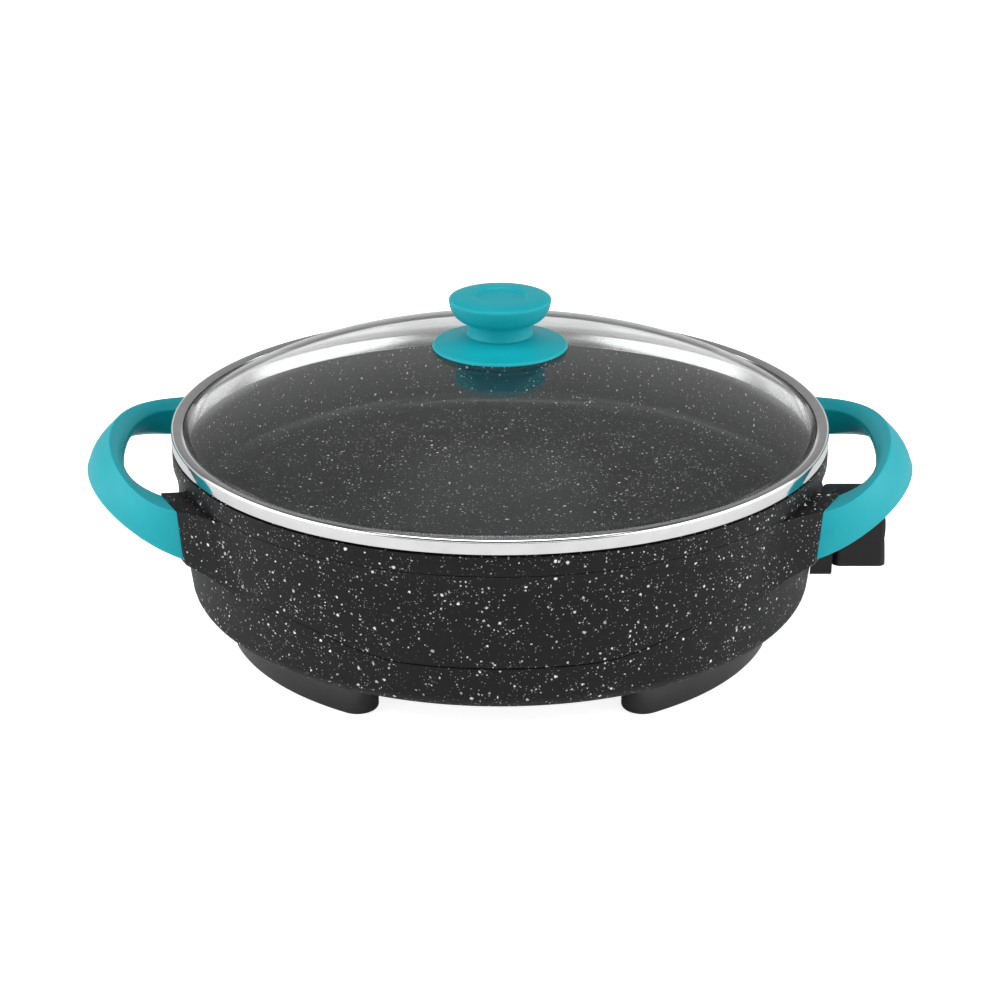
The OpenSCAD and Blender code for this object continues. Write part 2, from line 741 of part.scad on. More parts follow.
module lid_glass() {
    edge_r = glass_r - fit_gap / 2;
    steps = 20;
    upper = [for (i = [0 : steps]) let (r = mix(hole_r, dome_foot_r, i / steps)) [r, dome_z(r)]];
    lower = [for (i = [steps : -1 : 0]) upper[i] - [0, glass_t]];
    color("#b9c4c8", 0.35) rotate_extrude($fn = 180)
        polygon(concat(upper, [[edge_r, z_sill], [edge_r, z_glass_edge]], lower));
}

// Knob

z_cone = z_apex + cone_h;
z_neck = z_cone + neck_h;
z_wide = z_neck + swell_h;
z_top = z_wide + crown_h;
neck_r = neck_d / 2;
insert_r = knob_screw_d / 2 + 1.6;
z_insert = z_cone + 1;
insert_h = neck_h + swell_h - 4.5;
washer_r = 11;
washer_t = 1.5;
z_washer = dome_z(washer_r) - glass_t - washer_t - fit_gap / 2;

module knob_base() {
    flange_r = flange_d / 2;
    edge_t = 1.6;
    skin = 1.8;
    hub_r = hole_r + 5;
    z_edge = dome_z(flange_r - 2) + fit_gap;
    roll_r = flange_r - edge_t;
    roll = arc_points(roll_r, z_edge, edge_t, edge_t, 0, 90, 5);
    cone = [for (i = [1 : 6]) let (s = i / 6)
        [mix(roll_r, neck_r, s), z_edge + edge_t + (z_cone - z_edge - edge_t) * pow(s, 1.3)]];
    color(teal) difference() {
        rotate_extrude() polygon(concat([[0, z_apex + fit_gap / 2], [hub_r, z_apex + fit_gap / 2],
            [hub_r, z_cone - skin], [neck_r, z_cone - skin], [flange_r - 3, z_edge + 0.4],
            [flange_r - 2, z_edge]], roll, cone, [[0, z_cone]]));
        translate([0, 0, z_apex - 1]) cylinder(h = cone_h + 2, r = knob_screw_d / 2 + 3 * fit_gap);
    }
}

module knob() {
    grip_r = grip_d / 2;
    foot_r = neck_r + 0.6;
    waist_r = neck_r - 0.6;
    dish_r = grip_r * 0.55;
    dish = 1.2;
    stem = [[0, z_cone], [neck_r, z_cone], [waist_r, z_cone + 1.8], [waist_r, z_neck - 0.6]];
    swell = [for (i = [0 : 8]) bezier([foot_r, z_neck], [mix(foot_r, grip_r, 0.53), z_neck + swell_h * 0.08],
        [grip_r - 0.9, z_wide - swell_h * 0.62], [grip_r, z_wide], i / 8)];
    crown = [for (i = [1 : 7]) bezier([grip_r, z_wide], [grip_r, z_wide + crown_h * 0.6],
        [grip_r - 2, z_top - 0.1], [dish_r, z_top], i / 7)];
    color(teal) difference() {
        rotate_extrude() polygon(concat(stem, swell, crown,
            [[dish_r - 2, z_top - dish], [0, z_top - dish * 0.4]]));
        translate([0, 0, z_cone - 1]) cylinder(h = 2, r = knob_screw_d / 2 + 3 * fit_gap);
        translate([0, 0, z_insert]) cylinder(h = insert_h + fit_gap, r = insert_r + fit_gap / 2);
    }
}

module knob_insert() {
    color(brass) translate([0, 0, z_insert]) difference() {
        cylinder(h = insert_h, r = insert_r);
        translate([0, 0, -1]) cylinder(h = insert_h + 2, d = knob_screw_d + fit_gap);
    }
}

module knob_washer() {
    color(steel) translate([0, 0, z_washer]) difference() {
        cylinder(h = washer_t, r = washer_r);
        translate([0, 0, -1]) cylinder(h = washer_t + 2, d = knob_screw_d + 2 * fit_gap);
    }
}

module knob_screw() {
    head_h = knob_screw_d * 0.6;
    color(steel) translate([0, 0, z_washer - head_h]) {
        cylinder(h = head_h, r = knob_screw_d * 0.95);
        cylinder(h = z_insert + insert_h - 2 - z_washer + head_h, d = knob_screw_d);
    }
}

// Plug-in control

control_x = guard_x + 4 * run_gap;
control_end = control_x + control_l;
z_control = z_axis - control_h / 2;
z_control_top = z_axis + control_h / 2;
inside_x = control_x + shell_t;
flange_x = inside_x + 0.4;
flange_t = 3;
block_end = flange_x + flange_t;
dial_x = control_x + control_l / 2;
gland_r = cord_bore_d / 2 + 1.8;
gland_pad_r = gland_r + 2.6;
gland_x = control_end - 0.2;
switch_l = 12;
switch_half_w = 10;
switch_top = z_axis + 6;
boss_r = small_screw_d / 2 + 2;
boss_x = block_end + boss_r + 0.6;
boss_lap = 0.8;
boss_y = control_w / 2 - shell_t - boss_r + boss_lap;
lamp_r = 2;
lens_r = lamp_r + 0.6;
lens_brim_r = lens_r + 0.8;
lens_brim_t = 1.2;
lamp_x = control_end - shell_t - end_draft - lens_brim_r - 1;
lamp_y = -(control_w / 2 - shell_t - lamp_r - 4);
z_lamp = z_axis + 2;
z_lens = z_control_top - shell_t - lens_brim_t;

module control_shape(margin, r) {
    x0 = control_x + margin;
    x1 = control_end - margin;
    z0 = z_control + margin;
    z1 = z_control_top - margin;
    intersection() {
        rotate([90, 0, 0]) linear_extrude(control_w - 2 * margin, center = true)
            polygon([[x0, z0], [x1, z0], [x1 - end_draft, z1], [x0, z1]]);
        translate([control_x + control_l / 2, 0, z_control])
            linear_extrude(control_h) rounded_rect(control_l - 2 * margin, control_w - 2 * margin, r);
    }
}

// Both shells before they are parted at the axis of the contacts
module control_shell() {
    difference() {
        union() {
            difference() {
                control_shape(0, 4);
                control_shape(shell_t, 2.2);
            }
            along_x(control_end - 5, 5 - 0.2, 0, z_axis) circle(gland_pad_r);
            for (y = [-1, 1])
                translate([boss_x, y * boss_y, z_control]) cylinder(h = control_h - eps, r = boss_r);
        }
        along_x(control_x - 1, shell_t + 2, 0, z_axis)
            square([block_w + 2 * fit_gap, block_h + 2 * fit_gap], center = true);
        along_x(control_end - 10, 20, 0, z_axis) circle(gland_r + fit_gap / 2);
    }
}

module half_space(up) {
    translate([control_x - 20, -control_w, up ? z_axis : z_axis - control_h])
        cube([control_l + 40, 2 * control_w, control_h]);
}

module control_base() {
    color(black) difference() {
        union() {
            intersection() {
                control_shell();
                half_space(false);
            }
            translate([lamp_x, lamp_y, z_control + shell_t / 2])
                cylinder(h = z_lamp - z_control - shell_t / 2, r = lamp_r + 1);
        }
        for (y = [-1, 1]) translate([boss_x, y * boss_y, z_control - 1]) {
            cylinder(h = control_h, d = small_screw_d + 2 * fit_gap);
            cylinder(h = guard_head_h + 1, r = guard_head_r + fit_gap);
        }
    }
}

module control_cover() {
    color(black) difference() {
        intersection() {
            control_shell();
            half_space(true);
        }
        for (y = [-1, 1]) translate([boss_x, y * boss_y, z_axis - 1])
            cylinder(h = control_h / 2 - shell_t, d = small_screw_d + fit_gap);
        translate([dial_x, 0, z_axis]) cylinder(h = control_h, d = spindle_d + 2 * run_gap);
        translate([lamp_x, lamp_y, z_axis]) cylinder(h = control_h, r = lens_r + fit_gap / 2);
    }
}

sleeve_r = pin_d / 2 + 1.1;
sleeve_x = block_x + 0.5;
probe_seat = 17;

module contact_block() {
    color("#3b2a20") difference() {
        union() {
            along_x(block_x, block_end - block_x, 0, z_axis) rounded_rect(block_w, block_h, 2);
            along_x(flange_x, flange_t, 0, z_axis) rounded_rect(block_w + 3, block_h + 5, 2);
        }
        for (y = [-1, 1]) along_x(block_x - 1, block_end - block_x - 1, y * pin_y, z_axis)
            circle(sleeve_r + fit_gap / 2);
        along_x(block_x - 1, probe_seat + 2, 0, z_axis) circle(d = probe_d + fit_gap);
    }
}

module contact_sleeves() {
    sleeve_l = block_end - sleeve_x - 2.5;
    color(brass) for (y = [-1, 1]) along_x(sleeve_x, sleeve_l, y * pin_y, z_axis) difference() {
        circle(sleeve_r);
        circle(d = pin_d + 2 * shaft_gap);
    }
}

module temperature_probe() {
    probe_r = probe_d / 2;
    nose = 1.5;
    back = probe_l + probe_seat;
    color(steel) translate([probe_tip_x, 0, z_axis]) rotate([90, 0, 90]) rotate_extrude()
        polygon(concat([[0, 0]], arc_points(probe_r - nose, nose, nose, nose, -90, 0, 4),
            [[probe_r, back], [0, back]]));
}

module thermostat_switch() {
    color("#6b4a33") difference() {
        union() {
            translate([dial_x - switch_l / 2, -switch_half_w, z_control + shell_t])
                cube([switch_l, 2 * switch_half_w, switch_top - z_control - shell_t]);
            translate([dial_x, 0, switch_top]) cylinder(h = 2.5, d = spindle_d + 4);
        }
        translate([dial_x, 0, z_axis - 2]) cylinder(h = control_h, d = spindle_d + 2 * shaft_gap);
    }
}

module indicator_lamp() {
    color("#e08a3c") translate([lamp_x, lamp_y, z_lamp]) cylinder(h = z_lens - z_lamp, r = lamp_r);
}

module indicator_lens() {
    bevel = 0.7;
    color("#b3231f") translate([lamp_x, lamp_y, z_lens]) {
        cylinder(h = lens_brim_t, r = lens_brim_r);
        cylinder(h = shell_t + lens_brim_t, r = lens_r);
        translate([0, 0, shell_t + lens_brim_t]) cylinder(h = bevel, r1 = lens_r, r2 = lens_r - bevel);
    }
}

module cord_gland() {
    flange = 2;
    color(black) difference() {
        union() {
            along_x(control_end - 6, gland_x - control_end + 6, 0, z_axis) circle(gland_r);
            along_x(gland_x, flange, 0, z_axis) circle(gland_pad_r);
        }
        along_x(control_end - 7, 14, 0, z_axis) circle(d = cord_bore_d);
    }
}

module control_screws() {
    head_z = z_control + guard_head_h;
    color(steel) for (y = [-1, 1]) translate([boss_x, y * boss_y, head_z - guard_head_h + 0.2]) {
        cylinder(h = guard_head_h - 0.2, r = guard_head_r);
        cylinder(h = control_h - shell_t - 4, d = small_screw_d);
    }
}

// Dial

z_dial = z_control_top + run_gap;
dial_skin = 1.6;

module dial_spindle() {
    color(steel) translate([dial_x, 0, z_axis - 2 + run_gap])
        cylinder(h = z_dial + dial_h - dial_skin - z_axis + 2 - run_gap - fit_gap, d = spindle_d);
}

module dial() {
    dial_r = dial_d / 2;
    edge = 1.4;
    color(black) translate([dial_x, 0, z_dial]) difference() {
        rotate_extrude()
            polygon([[0, 0], [dial_r, 0], [dial_r, dial_h - edge], [dial_r - edge, dial_h], [0, dial_h]]);
        translate([0, 0, -1]) cylinder(h = dial_h - dial_skin + 1, d = spindle_d + fit_gap);
        for (i = [0 : dial_flutes - 1]) rotate([0, 0, i * 360 / dial_flutes])
            translate([dial_r + 0.5, 0, 1.5]) cylinder(h = dial_h, d = dial_d * 0.085, $fn = 24);
        translate([dial_r * 0.3, -0.6, dial_h - 0.6]) cube([dial_r * 0.55, 1.2, 1]);
    }
}

pan();
base_shell();
heat_shield();
standoffs();
heating_element();
terminal_bushes();
terminal_pins();
terminal_guard();
guard_screws();
left_handle();
right_handle();
handle_screws();
foot_front_left();
foot_front_right();
foot_rear_left();
foot_rear_right();
foot_screws();
lid_rim();
lid_seal();
lid_glass();
knob_base();
knob();
knob_insert();
knob_washer();
knob_screw();
control_base();
control_cover();
contact_block();
contact_sleeves();
temperature_probe();
thermostat_switch();
indicator_lamp();
indicator_lens();
cord_gland();
control_screws();
dial_spindle();
dial();
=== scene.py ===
# Round electric skillet with a glass lid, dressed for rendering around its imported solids.
# Metres, +Z up, origin on the worktop under the pan's axis, front at -Y. Outlines below are in millimetres.
import math

import bmesh
import bpy
from mathutils import Matrix, Vector


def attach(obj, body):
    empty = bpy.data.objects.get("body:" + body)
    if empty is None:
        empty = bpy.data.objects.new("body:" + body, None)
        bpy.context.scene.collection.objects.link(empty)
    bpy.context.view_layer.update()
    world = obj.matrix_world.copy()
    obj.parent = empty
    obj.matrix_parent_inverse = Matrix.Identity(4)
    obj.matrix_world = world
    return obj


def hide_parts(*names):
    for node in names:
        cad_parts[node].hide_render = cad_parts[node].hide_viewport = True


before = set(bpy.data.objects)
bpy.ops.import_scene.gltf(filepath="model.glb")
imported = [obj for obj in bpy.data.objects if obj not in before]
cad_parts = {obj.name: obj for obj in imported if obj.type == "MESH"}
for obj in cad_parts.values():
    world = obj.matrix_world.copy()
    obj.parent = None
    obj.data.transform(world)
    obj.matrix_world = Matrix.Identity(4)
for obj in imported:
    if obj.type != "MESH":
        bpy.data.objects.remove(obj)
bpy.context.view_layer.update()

# Pan
# One aluminium casting: a round pot with an upright collar and a rebated rim, a hollow flare under it, four
# handle lugs, and a skirt that dips at the front and the back. It is sprayed all over with a charcoal
# non-stick coat.
MM = 0.001
RIM_R, WALL_R, BORE_R, BORE_DRAFT = 165.0, 162.7, 159.1, 1.5
Z_CORNER, Z_DIP, Z_PART, Z_UNDER = 28.5, 44.0, 54.5, 55.0
Z_FLOOR, Z_FLARE, Z_COLLAR, Z_RIM = 59.0, 80.0, 91.0, 101.5
WALL_LEAN, LEAN_POWER, FLARE_OUT, FLARE_POWER = 4.2, 1.6, 1.9, 1.7
SKIRT_T, SKIRT_EDGE, FLOOR_FILLET = 2.2, 0.35, 9.0
DIP_FLAT, DIP_HALF = 43.0, 105.0
COLLAR_R, CREASE, CREASE_H, RIM_ROUND = RIM_R - 0.1, 0.15, 0.7, 1.2
REBATE_W, REBATE_H, REBATE_EDGE, REBATE_TOP = 2.6, 1.0, 0.4, 0.2
POT_SIDES, SHARP, SAME_POINT = 288, 32, 0.0001


def mix(a, b, t):
    return a + (b - a) * t


def spaced(a, b, steps, first=0):
    """Evenly spaced numbers from a to b, from the given step on."""
    return [mix(a, b, i / steps) for i in range(first, steps + 1)]


def wall_r(z):
    """Outer radius of the pot's wall at a height."""
    return WALL_R - WALL_LEAN * max(0.0, (Z_FLARE - z) / (Z_FLARE - Z_CORNER)) ** LEAN_POWER


def part_z(x):
    """Height of the wavy line between the pan's skirt and the base, over x."""
    t = min(1.0, max(0.0, (abs(x) - DIP_FLAT) / (DIP_HALF - DIP_FLAT)))
    return mix(Z_DIP, Z_PART, t * t * (3 - 2 * t))


def arc(cx, cz, rx, rz, start, end, steps):
    """Points on an ellipse about (cx, cz), between two angles in degrees."""
    angles = [math.radians(a) for a in spaced(start, end, steps)]
    return [(cx + rx * math.cos(a), cz + rz * math.sin(a)) for a in angles]


def pulls(t):
    """How much each of a cubic curve's four points counts at t."""
    s = 1 - t
    return s ** 3, 3 * t * s * s, 3 * t * t * s, t ** 3


def bezier(a, b, c, d, steps, first=0):
    """Points on a cubic curve through a and d, drawn towards b and c."""
    points = []
    for t in spaced(0, 1, steps, first):
        weighed = list(zip(pulls(t), (a, b, c, d)))
        points.append(tuple(sum(w * p[k] for w, p in weighed) for k in range(len(a))))
    return points


def turned(outline, sides, inner=()):
    """A closed mesh turned about +Z. outline(angle) lists (r, z), and its edges in inner take material 1."""
    bm = bmesh.new()
    rings = []
    for i in range(sides):
        a = 2 * math.pi * i / sides
        ring = [(r * math.cos(a) * MM, r * math.sin(a) * MM, z * MM) for r, z in outline(a)]
        rings.append([bm.verts.new(p) for p in ring])
    count = len(rings[0])
    for here, there in zip(rings, rings[1:] + rings[:1]):
        for k in range(count):
            up = (k + 1) % count
            face = bm.faces.new((here[k], there[k], there[up], here[up]))
            face.material_index = 1 if k in inner else 0
    bmesh.ops.remove_doubles(bm, verts=bm.verts, dist=SAME_POINT * MM)
    bmesh.ops.delete(bm, geom=[e for e in bm.edges if not e.link_faces], context="EDGES")
    return bm


def smooth(obj, sharp):
    """Shades obj smooth, but for edges that turn by more than sharp degrees."""
    obj.data.polygons.foreach_set("use_smooth", [True] * len(obj.data.polygons))
    obj.data.set_sharp_from_angle(angle=math.radians(sharp))


def solid(name, bm, *materials, sharp=SHARP):
    """Turns a closed bmesh into an object with outward faces."""
    bmesh.ops.recalc_face_normals(bm, faces=bm.faces)
    mesh = bpy.data.meshes.new(name)
    bm.to_mesh(mesh)
    bm.free()
    for material in materials:
        mesh.materials.append(material)
    obj = bpy.data.objects.new(name, mesh)
    bpy.context.scene.collection.objects.link(obj)
    smooth(obj, sharp)
    return obj


def settle(obj, step):
    """Makes what a modifier does to obj part of its mesh."""
    graph = bpy.context.evaluated_depsgraph_get()
    mesh = bpy.data.meshes.new_from_object(obj.evaluated_get(graph))
    obj.modifiers.remove(step)
    obj.data = mesh


def combine(obj, other, operation):
    """Joins another closed mesh to obj, or cuts it away, and removes it."""
    step = obj.modifiers.new(operation, "BOOLEAN")
    step.operation, step.solver, step.object = operation, "EXACT", other
    settle(obj, step)
    bpy.data.objects.remove(other)
    smooth(obj, SHARP)


def place(obj, body, slot, *nodes):
    """The piece rides on a body and stands for these solids. slot is not used."""
    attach(obj, body)
    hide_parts(*nodes)


def srgb(code):
    """An sRGB hex colour as linear RGBA."""
    parts = [int(code[i:i + 2], 16) / 255 for i in (1, 3, 5)]
    return tuple(c / 12.92 if c <= 0.04045 else ((c + 0.055) / 1.055) ** 2.4 for c in parts) + (1.0,)


def add(tree, kind, links=None, values=None, **settings):
    """One node, with its settings, its sockets' values and the links into it."""
    node = tree.nodes.new(kind)
    for key, value in settings.items():
        setattr(node, key, value)
    for socket, value in (values or {}).items():
        node.inputs[socket].default_value = value
    for socket, source in (links or {}).items():
        tree.links.new(source, node.inputs[socket])
    return node


def surface(name, **values):
    """A new material with plain values on its shader, and its tree and shader."""
    material = bpy.data.materials.new(name)
    material.use_nodes = True
    tree = material.node_tree
    shader = tree.nodes["Principled BSDF"]
    for socket, value in values.items():
        shader.inputs[socket.replace("_", " ").title().replace("Ior", "IOR")].default_value = value
    return material, tree, shader


def textured(material, grain, detail, strength, depth):
    """Gives a material the fine relief of its mould or spray: grain waves in a metre, depth mm deep."""
    tree = material.node_tree
    coords = add(tree, "ShaderNodeTexCoord").outputs["Object"]
    waves = add(tree, "ShaderNodeTexNoise", {"Vector": coords}, {"Scale": grain, "Detail": detail})
    bump = add(tree, "ShaderNodeBump", {"Height": waves.outputs["Fac"]},
               {"Strength": strength, "Distance": depth * MM})
    tree.links.new(bump.outputs[0], tree.nodes["Principled BSDF"].inputs["Normal"])


# Flecks bend within about 1 mm and clump over about 13 mm, and the binder is mottled over about 4 mm. The
# grains are in waves to a metre, and the bend is in millimetres.
BEND_GRAIN, CLUMP_GRAIN, MOTTLE_GRAIN, BEND = 900.0, 75.0, 260.0, 1.2
FLECK_SHARE, FLECK_LEAST, FLECK_CORE, FLECK_DIM = 0.66, 0.45, 0.7, 0.4
# The colour sockets of a mix node, whose names are not its own.
MIX_A, MIX_B, MIX_OUT = 6, 7, 2


def fleck_coat(name, base, mottle, layers, roughness, gloss):
    """Sprayed non-stick coat on blasted aluminium: near-black binder with a slight mottle, white flecks of
    several sizes in loose clumps, and a faint orange-peel. layers are (spacing mm, radius mm, colour)."""
    material, tree, shader = surface(name, roughness=roughness, specular_ior_level=gloss)
    coords = add(tree, "ShaderNodeTexCoord").outputs["Object"]
    wobble = add(tree, "ShaderNodeTexNoise", {"Vector": coords}, {"Scale": BEND_GRAIN, "Detail": 1.0})
    wobble = add(tree, "ShaderNodeVectorMath", {0: wobble.outputs["Color"]}, {1: (0.5, 0.5, 0.5)},
                 operation="SUBTRACT")
    wobble = add(tree, "ShaderNodeVectorMath", {0: wobble.outputs[0]}, {"Scale": BEND * MM},
                 operation="SCALE")
    bent = add(tree, "ShaderNodeVectorMath", {0: coords, 1: wobble.outputs[0]}, operation="ADD").outputs[0]
    clumps = add(tree, "ShaderNodeTexNoise", {"Vector": coords}, {"Scale": CLUMP_GRAIN, "Detail": 2.0})
    clumps = add(tree, "ShaderNodeMapRange", {"Value": clumps.outputs["Fac"]},
                 {"From Min": 0.3, "From Max": 0.7}).outputs[0]
    patches = add(tree, "ShaderNodeTexNoise", {"Vector": coords}, {"Scale": MOTTLE_GRAIN, "Detail": 3.0})
    colour = add(tree, "ShaderNodeMix", {"Factor": patches.outputs["Fac"]},
                 {MIX_A: srgb(base), MIX_B: srgb(mottle)}, data_type="RGBA").outputs[MIX_OUT]
    for spacing, radius, fleck in layers:
        size = radius / spacing
        cells = add(tree, "ShaderNodeTexVoronoi", {"Vector": bent}, {"Scale": 1000.0 / spacing})
        lots = add(tree, "ShaderNodeSeparateColor", {"Color": cells.outputs["Color"]}).outputs
        limit = add(tree, "ShaderNodeMath", {0: lots[0]}, {1: size, 2: FLECK_LEAST * size},
                    operation="MULTIPLY_ADD").outputs[0]
        core = add(tree, "ShaderNodeMath", {0: limit}, {1: FLECK_CORE}, operation="MULTIPLY").outputs[0]
        spot = add(tree, "ShaderNodeMapRange",
                   {"Value": cells.outputs["Distance"], "From Min": limit, "From Max": core})
        held = add(tree, "ShaderNodeMath", {0: clumps, 1: lots[1]}, operation="SUBTRACT")
        held = add(tree, "ShaderNodeMath", {0: held.outputs[0]}, {1: 0.5 - FLECK_SHARE},
                   operation="GREATER_THAN")
        shine = add(tree, "ShaderNodeMath", {0: lots[2]}, {1: 1 - FLECK_DIM, 2: FLECK_DIM},
                    operation="MULTIPLY_ADD")
        held = add(tree, "ShaderNodeMath", {0: held.outputs[0], 1: shine.outputs[0]}, operation="MULTIPLY")
        amount = add(tree, "ShaderNodeMath", {0: spot.outputs[0], 1: held.outputs[0]}, operation="MULTIPLY")
        colour = add(tree, "ShaderNodeMix", {"Factor": amount.outputs[0], MIX_A: colour},
                     {MIX_B: srgb(fleck)}, data_type="RGBA").outputs[MIX_OUT]
    tree.links.new(colour, shader.inputs["Base Color"])
    textured(material, grain=700.0, detail=2.0, strength=0.12, depth=0.2)
    return material


outer_coat = fleck_coat("speckled non-stick coat outside", "#0f0f10", "#171718",
                        [(4.3, 0.66, "#fbfbfa"), (2.4, 0.42, "#e6e6e4"), (1.35, 0.28, "#9a9a9a")],
                        roughness=0.48, gloss=0.22)
inner_coat = fleck_coat("speckled non-stick coat inside", "#1e1e1f", "#272729",
                        [(3.7, 0.52, "#fbfbfa"), (2.2, 0.37, "#e6e6e4"), (1.35, 0.27, "#a9a9a8")],
                        roughness=0.4, gloss=0.42)


def pan_outline(angle):
    """From the skirt's inner foot out, up the wall, over the rim, down inside and back under the floor."""
    foot_r = wall_r(Z_DIP)
    low = part_z(foot_r * math.cos(angle))
    skirt_r = foot_r - SKIRT_T
    rebate_r, z_rebate = RIM_R - REBATE_W, Z_RIM - REBATE_H
    fillet_r = BORE_R - BORE_DRAFT - FLOOR_FILLET
    skirt = [(skirt_r + SKIRT_EDGE, low), (wall_r(low) - SKIRT_EDGE, low)]
    wall = [(wall_r(z), z) for z in spaced(low + SKIRT_EDGE, Z_FLARE, steps=12)]
    flare = [(WALL_R + FLARE_OUT * s ** FLARE_POWER, mix(Z_FLARE, Z_COLLAR, s))
             for s in spaced(0, 1, steps=8, first=1)]
    crease = [(WALL_R + FLARE_OUT - 2 * CREASE, Z_COLLAR + CREASE),
              (COLLAR_R - CREASE, Z_COLLAR + 3 * CREASE), (COLLAR_R, Z_COLLAR + CREASE_H)]
    collar = arc(COLLAR_R - REBATE_EDGE, z_rebate - REBATE_EDGE, REBATE_EDGE, REBATE_EDGE, 0, 90, steps=3)
    rebate = [(rebate_r, z_rebate), (rebate_r, Z_RIM - REBATE_TOP), (rebate_r - REBATE_TOP, Z_RIM)]
    rim = arc(BORE_R + RIM_ROUND, Z_RIM - RIM_ROUND, RIM_ROUND, RIM_ROUND, 90, 180, steps=5)
    fillet = arc(fillet_r, Z_FLOOR + FLOOR_FILLET, FLOOR_FILLET, FLOOR_FILLET, 0, -90, steps=12)
    bottom = [(r, Z_FLOOR) for r in spaced(fillet_r, 0, steps=8, first=1)]
    under = [(0, Z_UNDER), (skirt_r, Z_UNDER), (skirt_r, low + SKIRT_EDGE)]
    return skirt + wall + flare + crease + collar + rebate + rim + fillet + bottom + under


pan_inside = [k for k, (r, z) in enumerate(pan_outline(0.0)) if r < BORE_R + RIM_ROUND and z >= Z_FLOOR]
pan = solid("pan_casting", turned(pan_outline, POT_SIDES, pan_inside), outer_coat, inner_coat)

LUG_ANGLE, LUG_R, LUG_W = math.radians(24.4), 174.5, 26.0
Z_LUG, Z_LUG_FOOT, LUG_SLOPE, LUG_RUN, LUG_DRAFT = 89.5, 62.5, 6.0, 14.9, 2.2
LUG_LEAVE, LUG_BEND, LUG_END = (168.5, 21.4), (161.6, 31.1), (152.4, 52.4)
LUG_BACK_R, LUG_BACK_FROM, LUG_BACK_TO = 160.2, 19, -3
LUG_ROUND, LUG_CORNER, LUG_MERGE, NO_MERGE = 0.7, 30, 0.01, -1.0
SCREW_U, SCREW_SEAT, LUG_HOLE_R, LUG_HOLE_LOW, HOLE_SIDES = 168.25, 63.8, 3.9, 50.0, 40


def every(bm):
    """All points, edges and faces of a mesh."""
    return bm.verts[:] + bm.edges[:] + bm.faces[:]


def mirrored(bm):
    """Repeats what lies in the first quadrant in the other three."""
    for axis in "XY":
        bmesh.ops.mirror(bm, geom=every(bm), axis=axis, merge_dist=NO_MERGE)
    bmesh.ops.recalc_face_normals(bm, faces=bm.faces)
    return bm


def spin(bm, angle):
    """Turns a mesh about the pan's axis."""
    bmesh.ops.rotate(bm, verts=bm.verts, cent=(0, 0, 0), matrix=Matrix.Rotation(angle, 3, "Z"))


def round_off(bm, edges, corner, width):
    """Rounds those of the edges that turn by more than corner degrees."""
    turning = [e for e in edges if len(e.link_faces) == 2 and e.calc_face_angle() > math.radians(corner)]
    bmesh.ops.bevel(bm, geom=turning, offset=width * MM, segments=2, profile=0.5, affect="EDGES",
                    clamp_overlap=True)


def lug_blocks():
    """The four cast lugs, each with a drafted face for the handle's leg, a sloping underside and a side that
    runs into the wall."""
    low = Z_LUG_FOOT - LUG_SLOPE
    # With both handles two thirds of the way to the bend, the cubic is a plain curve drawn towards it.
    bends = [tuple(mix(end[k], LUG_BEND[k], 2 / 3) for k in (0, 1)) for end in (LUG_LEAVE, LUG_END)]
    plan = [(LUG_R, -LUG_W / 2), (LUG_R, LUG_W / 2)]
    plan += bezier(LUG_LEAVE, *bends, LUG_END, steps=8)
    plan += arc(0, 0, LUG_BACK_R, LUG_BACK_R, LUG_BACK_FROM, LUG_BACK_TO, steps=3)
    bm = bmesh.new()
    base = bm.faces.new([bm.verts.new((u * MM, v * MM, low * MM)) for u, v in plan])
    top = bmesh.ops.extrude_face_region(bm, geom=[base])["geom"]
    top = [v for v in top if isinstance(v, bmesh.types.BMVert)]
    bmesh.ops.translate(bm, vec=(0, 0, (Z_LUG - low) * MM), verts=top)
    foot = Vector((LUG_R - LUG_DRAFT, 0, Z_LUG_FOOT)) * MM
    slope = Vector((LUG_SLOPE, 0, -LUG_RUN))
    draft = Vector((Z_LUG - Z_LUG_FOOT, 0, -LUG_DRAFT))
    for normal in (slope, draft):
        cut = bmesh.ops.bisect_plane(bm, geom=every(bm), plane_co=foot, plane_no=normal, clear_outer=True)
        rim = [e for e in cut["geom_cut"] if isinstance(e, bmesh.types.BMEdge)]
        bmesh.ops.edgeloop_fill(bm, edges=rim)
    bmesh.ops.remove_doubles(bm, verts=bm.verts, dist=LUG_MERGE * MM)
    clear = [e for e in bm.edges if min(v.co.xy.length for v in e.verts) > RIM_R * MM]
    round_off(bm, clear, LUG_CORNER, LUG_ROUND)
    spin(bm, LUG_ANGLE)
    return mirrored(bm)


def drill(radius, low, high, spots):
    """Upright round cutters at these (x, y) places."""
    bm = bmesh.new()
    for x, y in spots:
        middle = Matrix.Translation((x * MM, y * MM, (low + high) / 2 * MM))
        bmesh.ops.create_cone(bm, cap_ends=True, segments=HOLE_SIDES, radius1=radius * MM,
                              radius2=radius * MM, depth=(high - low) * MM, matrix=middle)
    return bm


lug_spots = [(sx * SCREW_U * math.cos(LUG_ANGLE), sy * SCREW_U * math.sin(LUG_ANGLE))
             for sx in (1, -1) for sy in (1, -1)]
combine(pan, solid("lugs", lug_blocks()), "UNION")
combine(pan, solid("lug_holes", drill(LUG_HOLE_R, LUG_HOLE_LOW, SCREW_SEAT, lug_spots)), "DIFFERENCE")
place(pan, "cooker", "coat", "pan")

# Base shell
# A bowl pressed from sheet and sprayed to match the pan. It hangs under the pan's floor on pillars, and its
# edge meets the pan's skirt at a thin wavy joint line.
Z_BASE, BASE_CORNER_W, BASE_CORNER_H, BASE_T = 17.5, 20.0, 11.0, 2.0
REVEAL, JOINT_GAP, LIP_ROUND = 0.5, 0.55, 0.3
SOCKET_R, SOCKET_DEPTH, SOCKET_W, SOCKET_FOOT, SOCKET_MID = 158.0, 40.0, 41.0, 41.5, 52.5


